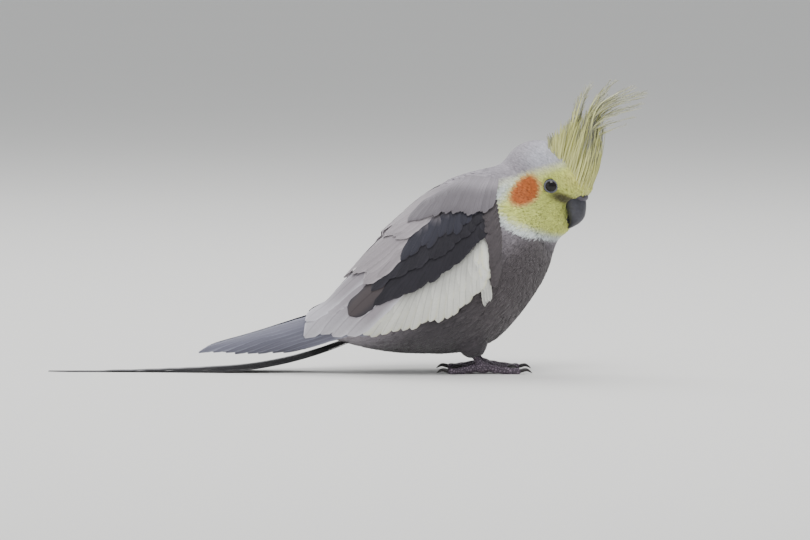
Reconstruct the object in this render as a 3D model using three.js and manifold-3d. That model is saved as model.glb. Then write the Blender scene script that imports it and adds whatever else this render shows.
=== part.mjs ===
// A cockatiel at life size, standing still on level ground: a rigid model with no moving parts.
// Millimetres, +Z up, bill towards +X, and the bird's right side towards -Y.

import * as THREE from "three";
import { mergeVertices } from "three/addons/utils/BufferGeometryUtils.js";
import Module from "manifold-3d";

const wasm = await Module();
wasm.setup();

// Driving dimensions
const GAP = 0.3; // kept between pieces that touch
const BODY_PITCH = THREE.MathUtils.degToRad(38); // slope of the back above the ground
const BODY_CENTRE = new THREE.Vector3(-15, 0, 48); // middle of the trunk
const HEAD_CENTRE = new THREE.Vector3(32.8, 0, 91.7); // middle of the skull
const HEAD_PITCH = THREE.MathUtils.degToRad(22); // bill turned down
const HEAD_TURN = THREE.MathUtils.degToRad(30); // bill turned to the bird's right
const EYE_RADIUS = 4.6;
const TAIL_LENGTH = 150;
const SHANK_SPREAD = 11.5; // each foot from the bird's middle plane
const SHORTEST_EDGE = 0.04; // slivers below this are merged away
const RIGHT = -1;
const LEFT = 1;

// Trunk stations, rump to throat: place along the body axis, back, belly, half width
const TRUNK_ROWS = [
  [-66, 21, 8, 9],
  [-58, 25.5, 1, 14],
  [-47, 28.5, -11, 19.5],
  [-35, 31, -21.5, 24],
  [-20, 34.3, -32.5, 27.5],
  [-4, 36.3, -38.5, 29],
  [12, 37.6, -37.3, 29],
  [27, 38.6, -33.2, 27.5],
  [38, 35.6, -29, 24.5],
  [50, 30.5, -21.5, 19.5],
  [64, 24, -10, 15],
];
const TRUNK_END_ROUNDING = 11;

// Trailing edge of the folded wings, tip to root: x, height, half height, half width
const TRAIL_ROWS = [
  [-145, 9.5, 3, 4],
  [-125, 12, 4.5, 6],
  [-105, 16, 6.5, 8.5],
  [-85, 20.5, 9.5, 12],
  [-65, 26, 13, 16.5],
  [-50, 30, 18, 20],
];
const BED_BLEND = 3; // how softly the trailing wings leave the body
const BED_STEP = 0.5; // of a walk round the flank
const LEAST_FLANK = 5; // how near the wings come to the midline over the back

/** Reads a table of stations smoothly: every column's value at a place along the first one. */
function alongStations(rows) {
  const slopes = rows.map((row, i) => {
    const before = rows[Math.max(i - 1, 0)];
    const after = rows[Math.min(i + 1, rows.length - 1)];
    return row.map((_, k) => (after[k] - before[k]) / (after[0] - before[0]));
  });
  return (place) => {
    const at = THREE.MathUtils.clamp(place, rows[0][0], rows.at(-1)[0]);
    const i = Math.max(
      1,
      rows.findIndex((row) => row[0] >= at),
    );
    const span = rows[i][0] - rows[i - 1][0];
    const t = (at - rows[i - 1][0]) / span;
    const [t2, t3] = [t * t, t * t * t];
    return rows[i].map(
      (value, k) =>
        (2 * t3 - 3 * t2 + 1) * rows[i - 1][k] +
        (t3 - 2 * t2 + t) * span * slopes[i - 1][k] +
        (3 * t2 - 2 * t3) * value +
        (t3 - t2) * span * slopes[i][k],
    );
  };
}

const trunkAt = alongStations(TRUNK_ROWS);
const trailAt = alongStations(TRAIL_ROWS);
const TRUNK_REAR = TRUNK_ROWS[0][0];
const TRUNK_FRONT = TRUNK_ROWS.at(-1)[0];

/** A point of the body frame (along the axis, sideways, towards the back) in the model's frame. */
function bodyPoint(along, side, back) {
  const [c, s] = [Math.cos(BODY_PITCH), Math.sin(BODY_PITCH)];
  return new THREE.Vector3(
    BODY_CENTRE.x + along * c - back * s,
    side,
    BODY_CENTRE.z + along * s + back * c,
  );
}

/** The round-off of the trunk near its two ends, from 0 at the very end to 1. */
function endRounding(along) {
  const left = Math.min(along - TRUNK_REAR, TRUNK_FRONT - along);
  if (left >= TRUNK_END_ROUNDING) return 1;
  return Math.sqrt(Math.max(0, 1 - (1 - left / TRUNK_END_ROUNDING) ** 2));
}

/** Moves each vertex of a closed geometry to where `place` puts it. */
function sculpted(geometry, place) {
  const position = geometry.getAttribute("position");
  const v = new THREE.Vector3();
  for (let i = 0; i < position.count; i++) {
    v.fromBufferAttribute(position, i);
    const moved = place(v);
    position.setXYZ(i, moved.x, moved.y, moved.z);
  }
  return geometry;
}

/** Volume inside a list of triangles, negative where they face inwards. */
function signedVolume(positions, triangles) {
  const [a, b, c] = [
    new THREE.Vector3(),
    new THREE.Vector3(),
    new THREE.Vector3(),
  ];
  let sum = 0;
  for (let i = 0; i < triangles.length; i += 3) {
    a.fromArray(positions, 3 * triangles[i]);
    b.fromArray(positions, 3 * triangles[i + 1]);
    c.fromArray(positions, 3 * triangles[i + 2]);
    sum += a.dot(b.cross(c)) / 6;
  }
  return sum;
}

/** A solid made of a closed three.js geometry, facing outwards. */
function solid(geometry) {
  const bare = geometry.clone();
  bare.deleteAttribute("normal");
  bare.deleteAttribute("uv");
  const merged = mergeVertices(bare, 1e-4);
  const vertProperties = merged.attributes.position.array;
  const triVerts = new Uint32Array(merged.index.array);
  if (signedVolume(vertProperties, triVerts) < 0)
    for (let i = 0; i < triVerts.length; i += 3)
      [triVerts[i + 1], triVerts[i + 2]] = [triVerts[i + 2], triVerts[i + 1]];
  return new wasm.Manifold(
    new wasm.Mesh({ numProp: 3, vertProperties, triVerts }),
  );
}

/** Joins solids and keeps the largest closed body. */
function joined(solids) {
  return largest(wasm.Manifold.union(solids));
}

function largest(body) {
  return body.decompose().sort((a, b) => b.volume() - a.volume())[0];
}

/** A closed tube through rings of corners, with flat ends. */
function loft(rings) {
  const sides = rings[0].length;
  const positions = rings.flat().flatMap((p) => p.toArray());
  const index = [];
  for (let r = 0; r + 1 < rings.length; r++)
    for (let k = 0; k < sides; k++) {
      const [a, b] = [r * sides + k, r * sides + ((k + 1) % sides)];
      index.push(a, b, b + sides, a, b + sides, a + sides);
    }
  const last = (rings.length - 1) * sides;
  for (let k = 1; k + 1 < sides; k++) {
    index.push(0, k + 1, k);
    index.push(last, last + k, last + k + 1);
  }
  const geometry = new THREE.BufferGeometry();
  geometry.setAttribute(
    "position",
    new THREE.Float32BufferAttribute(positions, 3),
  );
  geometry.setIndex(index);
  return geometry;
}

/** A closed thin vane through rings of corners: the face up first, then the face below, back again. */
function thinLoft(rings) {
  const sides = rings[0].length;
  const geometry = loft(rings);
  const index = Array.from(geometry.index.array);
  for (let r = 0; r + 1 < rings.length; r++)
    for (let k = sides / 2; k < sides; k++) {
      const [a, b] = [r * sides + k, r * sides + ((k + 1) % sides)];
      const twin = [a, b, a + sides, b, b + sides, a + sides];
      index.splice(6 * (r * sides + k), 6, ...twin);
    }
  geometry.setIndex(index);
  return geometry;
}

/** A round tube of changing radius along a curve. */
function limb(curve, radii, sides, steps) {
  const radiusAt = alongStations(radii);
  const rings = [];
  const up = new THREE.Vector3(0, 1, 0);
  for (let i = 0; i <= steps; i++) {
    const t = i / steps;
    const centre = curve.getPoint(t);
    const tangent = curve.getTangent(t);
    const across = new THREE.Vector3().crossVectors(up, tangent).normalize();
    const other = new THREE.Vector3().crossVectors(tangent, across);
    const radius = radiusAt(t)[1];
    rings.push(
      Array.from({ length: sides }, (_, k) => {
        const turn = (2 * Math.PI * (k + 0.5)) / sides;
        return centre
          .clone()
          .addScaledVector(across, radius * Math.cos(turn))
          .addScaledVector(other, radius * Math.sin(turn));
      }),
    );
  }
  return solid(loft(rings));
}

/** An ellipsoid, optionally grown on every side. */
function ellipsoid(centre, radii, grow = 0, detail = 20) {
  const geometry = new THREE.SphereGeometry(1, detail, Math.round(detail / 2));
  geometry.rotateX(Math.PI / 2);
  geometry.scale(radii[0] + grow, radii[1] + grow, radii[2] + grow);
  geometry.translate(...centre);
  return geometry;
}

// Trunk

function trunk(grow) {
  const geometry = new THREE.SphereGeometry(1, 26, 22);
  return solid(
    sculpted(geometry, (p) => {
      const turn = Math.acos(THREE.MathUtils.clamp(-p.y, -1, 1)) / Math.PI;
      const eased = (turn + (1 - Math.cos(Math.PI * turn)) / 2) / 2;
      const ring = Math.hypot(p.x, p.z);
      const along = THREE.MathUtils.lerp(TRUNK_REAR, TRUNK_FRONT, eased);
      const [, back, belly, half] = trunkAt(along);
      const rounding = endRounding(along);
      const [middle, reach] = [(back + belly) / 2, (back - belly) / 2];
      const around = ring > 1e-6 ? [p.x / ring, p.z / ring] : [0, 0];
      const pushed = along + grow * (1 - rounding) * Math.sign(turn - 0.5);
      return bodyPoint(
        pushed,
        around[0] * (half * rounding + (ring > 1e-6 ? grow : 0)),
        middle + around[1] * (reach * rounding + (ring > 1e-6 ? grow : 0)),
      );
    }),
  );
}

/** The half width of the body, or of the folded wings behind it, at a point of the side view. */
function flankAt(x, z) {
  const [c, s] = [Math.cos(BODY_PITCH), Math.sin(BODY_PITCH)];
  const [dx, dz] = [x - BODY_CENTRE.x, z - BODY_CENTRE.z];
  const [along, h] = [dx * c + dz * s, dz * c - dx * s];
  const [, back, belly, half] = trunkAt(along);
  const [, height, halfHeight, halfWidth] = trailAt(x);
  const widthOf = (share, width) =>
    width * Math.sqrt(Math.max(0, 1 - share * share));
  const body =
    widthOf((h - (back + belly) / 2) / ((back - belly) / 2), half) *
    endRounding(THREE.MathUtils.clamp(along, TRUNK_REAR, TRUNK_FRONT));
  const behind =
    x < TRAIL_ROWS.at(-1)[0] ? widthOf((z - height) / halfHeight, halfWidth) : 0;
  const shared = Math.min(body, behind) / Math.max(body, behind, 0.01);
  return (body + behind + Math.hypot(body - behind, BED_BLEND * shared)) / 2;
}

/** Height of the middle of the bed of the folded wing at a place along the side view. */
function bedMiddle(x) {
  const inBody = bodyPoint((x - BODY_CENTRE.x) * Math.cos(BODY_PITCH), 0, 0).z;
  const blend = THREE.MathUtils.smoothstep(x, -90, -55);
  return THREE.MathUtils.lerp(trailAt(x)[1], inBody, blend);
}

/** How near the midline the bed of a wing goes at a place along the bird. */
function leastFlank(x) {
  return THREE.MathUtils.clamp(LEAST_FLANK + (x + 60) / 20, 1.6, LEAST_FLANK);
}

/** Walks up or down the flank from the bed's middle until `done(height, walked)` says so. */
function walkFlank(x, sign, done) {
  let height = bedMiddle(x);
  let walked = 0;
  while (!done(height, walked) && walked < 120) {
    const ahead = height + sign * 0.05;
    const slope = (flankAt(x, ahead) - flankAt(x, height)) / 0.05;
    const rise = BED_STEP / Math.hypot(1, slope);
    if (flankAt(x, height + sign * rise) < leastFlank(x)) break;
    height += sign * rise;
    walked += BED_STEP;
  }
  return { height, walked };
}

/** The bed unrolled: a side view's height becomes the way walked round the flank. */
function unrolled(x, z) {
  const sign = Math.sign(z - bedMiddle(x)) || 1;
  const { walked } = walkFlank(x, sign, (height) => sign * (height - z) >= 0);
  return new THREE.Vector2(x, bedMiddle(x) + sign * walked);
}

const bedEdges = new Map();

/** The lowest and highest way on the unrolled bed at a place along the bird. */
function bedEdge(x) {
  const key = Math.round(x * 2);
  if (!bedEdges.has(key)) {
    const [low, high] = [-1, 1].map(
      (sign) => sign * walkFlank(key / 2, sign, () => false).walked,
    );
    const middle = bedMiddle(key / 2);
    bedEdges.set(key, [middle + low, middle + high]);
  }
  return bedEdges.get(key);
}

/** A point of the unrolled bed back in the model's frame, lifted off the flank. */
function onBed(side, at, lift) {
  const way = at.y - bedMiddle(at.x);
  const { height } = walkFlank(
    at.x,
    Math.sign(way) || 1,
    (_, walked) => walked >= Math.abs(way) - BED_STEP / 2,
  );
  const step = 0.4;
  const slopeX =
    (flankAt(at.x + step, height) - flankAt(at.x - step, height)) / (2 * step);
  const slopeZ =
    (flankAt(at.x, height + step) - flankAt(at.x, height - step)) / (2 * step);
  const outward = new THREE.Vector3(-slopeX, side, -slopeZ).normalize();
  const point = new THREE.Vector3(at.x, side * flankAt(at.x, height), height);
  return point.addScaledVector(outward, lift);
}

// Head, built in its own frame: bill towards +X, crown towards +Z

const headGroup = new THREE.Group();
headGroup.position.copy(HEAD_CENTRE);
headGroup.rotation.set(0, HEAD_PITCH, -HEAD_TURN, "ZYX");
headGroup.updateMatrix();

function inHead(geometry) {
  return solid(geometry.applyMatrix4(headGroup.matrix));
}

// Lumps of the skull and its plumage, blended into one smooth form
const SKULL_LUMPS = [
  { centre: [-3, 0, 1], radii: [19.5, 17.5, 21.8] }, // cranium
  { centre: [-9, 0, 0.5], radii: [17, 16.5, 20.5] }, // nape
  { centre: [9, 0, 8.5], radii: [14.6, 12.5, 11] }, // forehead
  { centre: [6, 0, -12], radii: [13.2, 14, 12.2] }, // throat
];
const SKULL_BLEND = 1.1;

/** How far a ray from the middle of the skull goes before it leaves an ellipsoid. */
function reachInside(lump, ray) {
  const d = ray.toArray().map((v, k) => v / lump.radii[k]);
  const o = lump.centre.map((v, k) => -v / lump.radii[k]);
  const [a, b, c] = [
    d[0] ** 2 + d[1] ** 2 + d[2] ** 2,
    d[0] * o[0] + d[1] * o[1] + d[2] * o[2],
    o[0] ** 2 + o[1] ** 2 + o[2] ** 2 - 1,
  ];
  const inside = b * b - a * c;
  return inside > 0 ? (-b + Math.sqrt(inside)) / a : 0;
}

function skull(grow) {
  const geometry = new THREE.SphereGeometry(1, 28, 20);
  geometry.rotateX(Math.PI / 2);
  return inHead(
    sculpted(geometry, (p) => {
      const ray = p.clone().normalize();
      const reaches = SKULL_LUMPS.map((lump) => reachInside(lump, ray));
      const most = Math.max(...reaches);
      const sum = reaches.reduce(
        (total, r) => total + Math.exp((r - most) / SKULL_BLEND),
        0,
      );
      return ray.multiplyScalar(most + SKULL_BLEND * Math.log(sum) + grow);
    }),
  );
}

// Upper bill stations, base to tip: front edge x and z, back edge x and z, half width
const UPPER_BILL_ROWS = [
  [20.4, 6, 11, 6, 4.6],
  [22.9, 2.6, 12.5, 0.5, 5.4],
  [24.5, -1.6, 14.5, -3.2, 5.2],
  [25, -5, 17, -6.4, 4.3],
  [23.8, -8.3, 18.6, -9.1, 3],
  [21.6, -11.2, 19, -11.5, 1.6],
  [19.4, -13.6, 18.7, -13.6, 0.5],
];
const LOWER_BILL = { centre: [14.5, 0, -9.5], radii: [4.6, 4.2, 3.4] };
const CERE = { centre: [18.3, 0, 6], radii: [3.9, 5, 2.9] };
const NOSTRIL = { centre: [20, 2.6, 6.2], radii: [1.6, 0.8, 0.8] };

function upperBill(grow) {
  const sides = 14;
  const last = UPPER_BILL_ROWS.length - 1;
  const rings = UPPER_BILL_ROWS.map(([fx, fz, bx, bz, half], i) => {
    const longer = i === 0 ? grow : i === last ? -grow : 0;
    const front = new THREE.Vector3(fx, 0, fz + longer);
    const back = new THREE.Vector3(bx, 0, bz + longer);
    const middle = front.clone().lerp(back, 0.5);
    const reach = front.clone().sub(middle);
    const wider = 1 + grow / reach.length();
    return Array.from({ length: sides }, (_, k) => {
      const turn = (2 * Math.PI * k) / sides;
      const point = middle
        .clone()
        .addScaledVector(reach, Math.cos(turn) * wider);
      point.y = Math.sin(turn) * (half + grow);
      return point;
    });
  });
  return inHead(loft(rings));
}

// Eyes

const EYE = { x: 7.5, y: 11.4, z: 5.5 };

function eyeball(side, grow) {
  const radius = EYE_RADIUS + grow;
  return inHead(
    ellipsoid([EYE.x, side * EYE.y, EYE.z], [radius, radius, radius], 0, 14),
  );
}

/** The bare ring of lid round an eye, square to the cheek. */
function lid(side) {
  const outward = new THREE.Vector3(0.5, side * 0.85, 0.16).normalize();
  const ring = new THREE.TorusGeometry(3.7, 0.75, 5, 16);
  ring.applyQuaternion(
    new THREE.Quaternion().setFromUnitVectors(
      new THREE.Vector3(0, 0, 1),
      outward,
    ),
  );
  ring.translate(
    EYE.x + outward.x * 3,
    side * EYE.y + outward.y * 3,
    EYE.z + outward.z * 3,
  );
  return inHead(ring);
}

// Crest feathers, each a tapered quill that curves up and forwards: those of the middle row from the
// front one back, as root, waist, shoulder and tip (x and z in the head's frame)
const CREST_ROW = [
  [[17, 10], [15.2, 38], [18, 52], [36, 67.5]],
  [[14, 12], [12.4, 39], [15.5, 53], [28, 65.8]],
  [[11, 14], [9.8, 40], [11.5, 52], [19, 62.5]],
  [[8, 16], [7, 39], [8.5, 50], [14.5, 61]],
  [[5, 17], [4, 36], [3.6, 46], [5, 56]],
  [[2, 18], [0.8, 31], [-0.4, 37], [-1, 43]],
  [[-1, 18.5], [-2, 27], [-3, 31.5], [-4.2, 36]],
];
const CREST_SIDE_SHIFT = 2.7; // the rows beside the middle one
const CREST_HALF = [1.15, 0.75]; // half widths of a feather, fore and aft and across

/** One crest feather through its four points, shifted sideways at the root more than at the tip. */
function quill(points, shift) {
  const curve = new THREE.CatmullRomCurve3(
    points.map(([x, z], i) => new THREE.Vector3(x, shift * (1 - i / 8), z)),
  );
  const widths = alongStations([
    [0, 0.8],
    [0.35, 1],
    [0.7, 0.75],
    [1, 0.22],
  ]);
  const steps = 5;
  const rings = [];
  for (let i = 0; i <= steps; i++) {
    const t = i / steps;
    const centre = curve.getPoint(t);
    const tangent = curve.getTangent(t);
    const fore = new THREE.Vector3(tangent.z, 0, -tangent.x).normalize();
    const width = widths(t)[1];
    rings.push(
      [
        [1, 0],
        [0, 1],
        [-1, 0],
        [0, -1],
      ].map(([f, y]) => {
        const point = centre
          .clone()
          .addScaledVector(fore, f * CREST_HALF[0] * width);
        point.y += y * CREST_HALF[1] * width;
        return point;
      }),
    );
  }
  return inHead(loft(rings));
}

/** The row beside the middle one: feathers half way between its neighbours and a little shorter. */
function besideRow() {
  return CREST_ROW.slice(1).map((points, i) =>
    points.map(([x, z], k) => {
      const [ahead, aheadZ] = CREST_ROW[i][k];
      const shorter = [0, 0.03, 0.07, 0.12][k];
      return [(x + ahead) / 2, ((z + aheadZ) / 2) * (1 - shorter)];
    }),
  );
}

function crest() {
  const beside = besideRow();
  return wasm.Manifold.union([
    ...CREST_ROW.map((points) => quill(points, 0)),
    ...beside.map((points) => quill(points, CREST_SIDE_SHIFT)),
    ...beside.map((points) => quill(points, -CREST_SIDE_SHIFT)),
  ]);
}

// Feathers laid over one another

const VANE_EDGE = 0.5; // thickness along a vane's edges
const VANE_CROWN = 0.2; // added down its middle
const VANE_AIR = 0.4; // kept under a vane, more than the gap it ends up with
const ROUND_VANE = [
  [0, 0.35],
  [0.3, 0.75],
  [0.6, 1],
  [0.87, 0.8],
  [1, 0.25],
];
const LONG_VANE = [
  [0, 0.4],
  [0.22, 0.8],
  [0.5, 1],
  [0.8, 0.8],
  [1, 0.12],
];
const MOST_HEIGHT = 6.5; // no vane is lifted further than this off its bed
const FREE_FROM = 0.32; // share of a vane's length past which it clears the others

/** Heights of whatever already lies on a bed, in cells of the unrolled bed. */
class Pile {
  constructor(floor) {
    this.cell = 0.5;
    this.floor = floor;
    this.tops = new Map();
  }

  key(at) {
    return `${Math.round(at.x / this.cell)},${Math.round(at.y / this.cell)}`;
  }

  top(at) {
    return Math.max(this.tops.get(this.key(at)) ?? -Infinity, this.floor(at));
  }

  raise(at, height) {
    for (const dx of [-1, 0, 1])
      for (const dy of [-1, 0, 1]) {
        const key = this.key({
          x: at.x + dx * this.cell,
          y: at.y + dy * this.cell,
        });
        this.tops.set(key, Math.max(this.tops.get(key) ?? -Infinity, height));
      }
  }
}

/** A vane's outline on a bed: where a share of its length and of its half width lies. */
class Outline {
  constructor({ root, tip, half, edges, bow = 0, stations = ROUND_VANE, crown }) {
    this.root = root;
    this.edges = edges;
    this.crown = crown ?? VANE_CROWN;
    this.run = tip.clone().sub(root);
    this.length = this.run.length();
    this.stations = stations;
    this.widthAt = alongStations(stations);
    this.half = half;
    this.bow = bow;
    // The edge that lies on top of the next vane is the one towards the front.
    this.front = new THREE.Vector2(-this.run.y, this.run.x).normalize();
  }

  at(along, across) {
    const half = this.half * this.widthAt(along)[1];
    const middle = this.root
      .clone()
      .addScaledVector(this.run, along)
      .addScaledVector(this.front, this.bow * Math.sin(Math.PI * along));
    const [low, high] = this.edges(middle.x);
    if (high - low > 2 * half)
      middle.y = THREE.MathUtils.clamp(middle.y, low + half, high - half);
    return middle.addScaledVector(this.front, across * half);
  }
}

const ACROSS = [1, 0, -1];

/** Heights of a vane's corners, so that past its root it clears whatever lies below. */
function drapedHeights(outline, pile, rootHeight, freeFrom) {
  const need = VANE_AIR + VANE_EDGE / 2;
  const rings = outline.stations.map(([t]) => t);
  const heights = rings.map((t, r) =>
    ACROSS.map((v) =>
      r === 0 ? rootHeight : pile.top(outline.at(t, v)) + need,
    ),
  );
  const samples = [];
  for (let t = freeFrom; t <= 1.0001; t += 1.2 / outline.length)
    for (let v = -1; v <= 1.001; v += 0.2) {
      const least = pile.top(outline.at(Math.min(t, 1), v)) + need;
      const r = Math.max(1, rings.findIndex((ring) => ring >= Math.min(t, 1)));
      const u = (Math.min(t, 1) - rings[r - 1]) / (rings[r] - rings[r - 1]);
      const c = v > 0 ? 0 : 1;
      const w = v > 0 ? 1 - v : -v;
      samples.push({ least, r, c, u, w });
    }
  for (let round = 0; round < 12; round++)
    for (const { least, r, c, u, w } of samples) {
      const corners = [
        [r - 1, c, (1 - u) * (1 - w)],
        [r - 1, c + 1, (1 - u) * w],
        [r, c, u * (1 - w)],
        [r, c + 1, u * w],
      ];
      const now = corners.reduce((sum, [i, k, f]) => sum + f * heights[i][k], 0);
      const free = corners.filter(([i]) => i > 0);
      const weight = free.reduce((sum, [, , f]) => sum + f * f, 0);
      if (now < least && weight > 0.15)
        for (const [i, k, f] of free)
          heights[i][k] = Math.min(
            heights[i][k] + (f * (least - now)) / weight,
            MOST_HEIGHT,
          );
    }
  return heights;
}

/** Adds a vane's upper face to the pile. */
function pileUp(outline, pile, heights) {
  const rings = outline.stations.map(([t]) => t);
  const along = Math.ceil(outline.length / 0.4);
  for (let i = 0; i <= along; i++) {
    const t = i / along;
    const r = Math.max(1, rings.findIndex((ring) => ring >= t));
    const u = (t - rings[r - 1]) / (rings[r] - rings[r - 1]);
    for (let v = -1; v <= 1.001; v += 0.05) {
      const c = v > 0 ? 0 : 1;
      const w = v > 0 ? 1 - v : -v;
      const mix = (row) => row[c] * (1 - w) + row[c + 1] * w;
      const height =
        mix(heights[r - 1]) * (1 - u) +
        mix(heights[r]) * u +
        VANE_EDGE / 2 +
        outline.crown * (1 - Math.abs(v));
      pile.raise(outline.at(t, v), height);
    }
  }
}

/** The solid of a vane: `place` puts a point of the bed, with its height, in the model's frame. */
function vaneSolid(outline, heights, place) {
  const rings = outline.stations.map(([t], r) => {
    const thin = t > 0.99 ? 0.7 : 1;
    const corner = (k, up) => {
      const crown = up > 0 && ACROSS[k] === 0 ? outline.crown : 0;
      const offset = up * thin * (VANE_EDGE / 2) + crown;
      return place(outline.at(t, ACROSS[k]), heights[r][k] + offset);
    };
    return [
      ...[0, 1, 2].map((k) => corner(k, 1)),
      ...[2, 1, 0].map((k) => corner(k, -1)),
    ];
  });
  return solid(thinLoft(rings));
}

// Wings: a thin pad on the flank that holds the roots, and rows of vanes laid over one another

// Stations of the folded wing in the side view: place along it, lower edge x and z, upper edge x and z
const wingAt = alongStations([
  [0, 7, 52, 4.5, 76],
  [0.1, 2.5, 40, -4, 88],
  [0.3, -12, 32, -20, 90],
  [0.52, -28, 27.5, -34, 81],
  [0.74, -43, 24.5, -49, 68],
  [1, -62, 24, -66, 48],
]);
const PAD_INSIDE = -1;
const PAD_OUTSIDE = 1.5;
const ROOT_HEIGHT = 0.85; // of a vane's root, inside the pad

// Rows in the order they are laid: how many vanes, the first and last ones' roots and tips in the
// side view with any between them, half width, and how far the middle of a vane bows to the front
const WING_TIERS = [
  {
    name: "primaries",
    count: 3,
    roots: [[-56, 26], [-60, 33]],
    tips: [[-138.5, 8], [-110, 15]],
    half: 3.2,
    bow: 1.5,
    stations: LONG_VANE,
  },
  {
    name: "greater coverts",
    count: 7,
    roots: [[5, 57], [-8, 52], [-34, 46]],
    tips: [[4, 37], [-23.5, 26.5], [-58, 25]],
    half: 5.6,
    bow: 0.5,
  },
  {
    name: "tertials",
    count: 4,
    roots: [[-40, 44], [-38, 68]],
    tips: [[-70, 23.5], [-86, 35]],
    half: 5.4,
    bow: 0.5,
  },
  {
    name: "median coverts",
    count: 6,
    roots: [[5, 75], [-5, 72], [-26, 64]],
    tips: [[4, 52], [-14, 44], [-47, 39]],
    half: 5.6,
    bow: 0.5,
  },
  {
    name: "lesser coverts",
    count: 4,
    roots: [[3, 84], [-8, 85], [-18, 80]],
    tips: [[2.5, 67], [-14, 61], [-32, 57]],
    half: 6,
    bow: 0.5,
  },
  {
    name: "scapulars",
    count: 3,
    roots: [[-12, 85], [-18, 90]],
    tips: [[-42, 58], [-57, 60]],
    half: 5.6,
    bow: 0.5,
  },
];

function pad(side) {
  const across = 7;
  const steps = 8;
  const rings = [];
  for (let i = 0; i <= steps; i++) {
    const [, lx, lz, ux, uz] = wingAt(i / steps);
    const low = unrolled(lx, lz);
    const high = unrolled(ux, uz);
    const row = (lift) =>
      Array.from({ length: across }, (_, k) =>
        onBed(side, low.clone().lerp(high, k / (across - 1)), lift),
      );
    rings.push([...row(PAD_OUTSIDE), ...row(PAD_INSIDE).reverse()]);
  }
  return solid(loft(rings));
}

/** Height of the pad's upper face, or of the bare bed outside it. */
function padFloor(at) {
  const rear = THREE.MathUtils.smoothstep(at.x, -68, -60);
  return 0.1 + rear * (PAD_OUTSIDE - 0.1);
}

/** A point at a share of the way along a broken line of the side view. */
function alongLine(points, share) {
  const place = share * (points.length - 1);
  const i = Math.min(Math.floor(place), points.length - 2);
  const [a, b] = [points[i], points[i + 1]];
  return [0, 1].map((k) => THREE.MathUtils.lerp(a[k], b[k], place - i));
}

/** A wing's solid: its pad and all its vanes. */
function wing(side) {
  const pile = new Pile(padFloor);
  const solids = [pad(side)];
  for (const tier of WING_TIERS)
    for (let i = 0; i < tier.count; i++) {
      const share = i / (tier.count - 1);
      const outline = new Outline({
        ...tier,
        edges: bedEdge,
        root: unrolled(...alongLine(tier.roots, share)),
        tip: unrolled(...alongLine(tier.tips, share)),
      });
      const heights = drapedHeights(outline, pile, ROOT_HEIGHT, FREE_FROM);
      pileUp(outline, pile, heights);
      solids.push(
        vaneSolid(outline, heights, (at, lift) => onBed(side, at, lift)),
      );
    }
  return joined(solids);
}

// Tail: a pad at the rump and twelve long vanes, six to a side, that come down to the ground

const TAIL_ROOT = { x: -66, z: 14.5 };
const TAIL_GROUNDED_X = -137; // where the tail has come down to the ground
const TAIL_LENGTHS = [69, 79, 90, 102, 118, TAIL_LENGTH]; // outermost feather to the middle one
const TAIL_VANE_ROOT_X = -73;
const TAIL_LAYER = 0.9; // from each vane to the next
const TAIL_THICKNESS = 5.4; // of all its layers
const TAIL_ROOT_HEIGHT = 2; // of a vane's root, inside the pad
const TAIL_HALF_WIDTH = 12;
const TAIL_STATIONS = [
  [0, 0.6],
  [0.18, 0.85],
  [0.38, 1],
  [0.6, 0.95],
  [0.82, 0.7],
  [1, 0.12],
];

function tailHeight(x) {
  const left = THREE.MathUtils.clamp(
    (x - TAIL_GROUNDED_X) / (TAIL_ROOT.x - TAIL_GROUNDED_X),
    0,
    1.2,
  );
  return TAIL_ROOT.z * left * left;
}

function tailPad() {
  const rings = [
    [-63, 7.5, 2.4],
    [-69, 8.4, 2.5],
    [-76, 7.6, 2.1],
    [-83, 6, 1.4],
  ].map(([x, half, thick]) =>
    Array.from({ length: 12 }, (_, k) => {
      const turn = (2 * Math.PI * k) / 12;
      const z = tailHeight(x) + 2.4 + thick * Math.sin(turn);
      return new THREE.Vector3(x, half * Math.cos(turn), z);
    }),
  );
  return solid(loft(rings));
}

/** The room that the tail takes, with a gap over it, from the rump past the wing tips. */
function tailRoom() {
  const rings = [-60, -75, -90, -105, -120, -135, -150, -165].map((x) => {
    const top = tailHeight(x) + TAIL_THICKNESS + GAP;
    return [
      [1, -20],
      [1, top],
      [-1, top],
      [-1, -20],
    ].map(([y, z]) => new THREE.Vector3(x, y * TAIL_HALF_WIDTH, z));
  });
  return solid(loft(rings));
}

/** Heights of one side's tail vanes, each on top of those outside it for as long as they reach. */
function tailHeights(outline, k) {
  const rings = outline.stations.map(([t]) => outline.at(t, 0).x);
  return rings.map((_, r) => {
    const before = rings[Math.max(r - 1, 0)];
    const below = TAIL_LENGTHS.slice(0, k).filter(
      (length) => TAIL_ROOT.x - length < before,
    ).length;
    const height = VANE_EDGE / 2 + TAIL_LAYER * below;
    return ACROSS.map(() => (r === 0 ? TAIL_ROOT_HEIGHT + 0.12 * k : height));
  });
}

function tail() {
  const solids = [tailPad()];
  for (const side of [RIGHT, LEFT])
    TAIL_LENGTHS.forEach((length, k) => {
      const outer = TAIL_LENGTHS.length - 1 - k;
      const outline = new Outline({
        root: new THREE.Vector2(TAIL_VANE_ROOT_X, 2.9 + 0.45 * outer),
        tip: new THREE.Vector2(TAIL_ROOT.x - length, 2.1 + 1.1 * outer),
        half: 3.1,
        stations: TAIL_STATIONS,
        crown: 0,
        edges: () => [-Infinity, Infinity],
      });
      const laid = (at, lift) =>
        new THREE.Vector3(at.x, side * at.y, tailHeight(at.x) + lift);
      solids.push(vaneSolid(outline, tailHeights(outline, k), laid));
    });
  return joined(solids);
}

// Legs: a feathered thigh, a bare shank with four toes, and a claw on each toe

const THIGH = { centre: [-4, SHANK_SPREAD, 17], radii: [8, 6, 9.5] };

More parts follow.
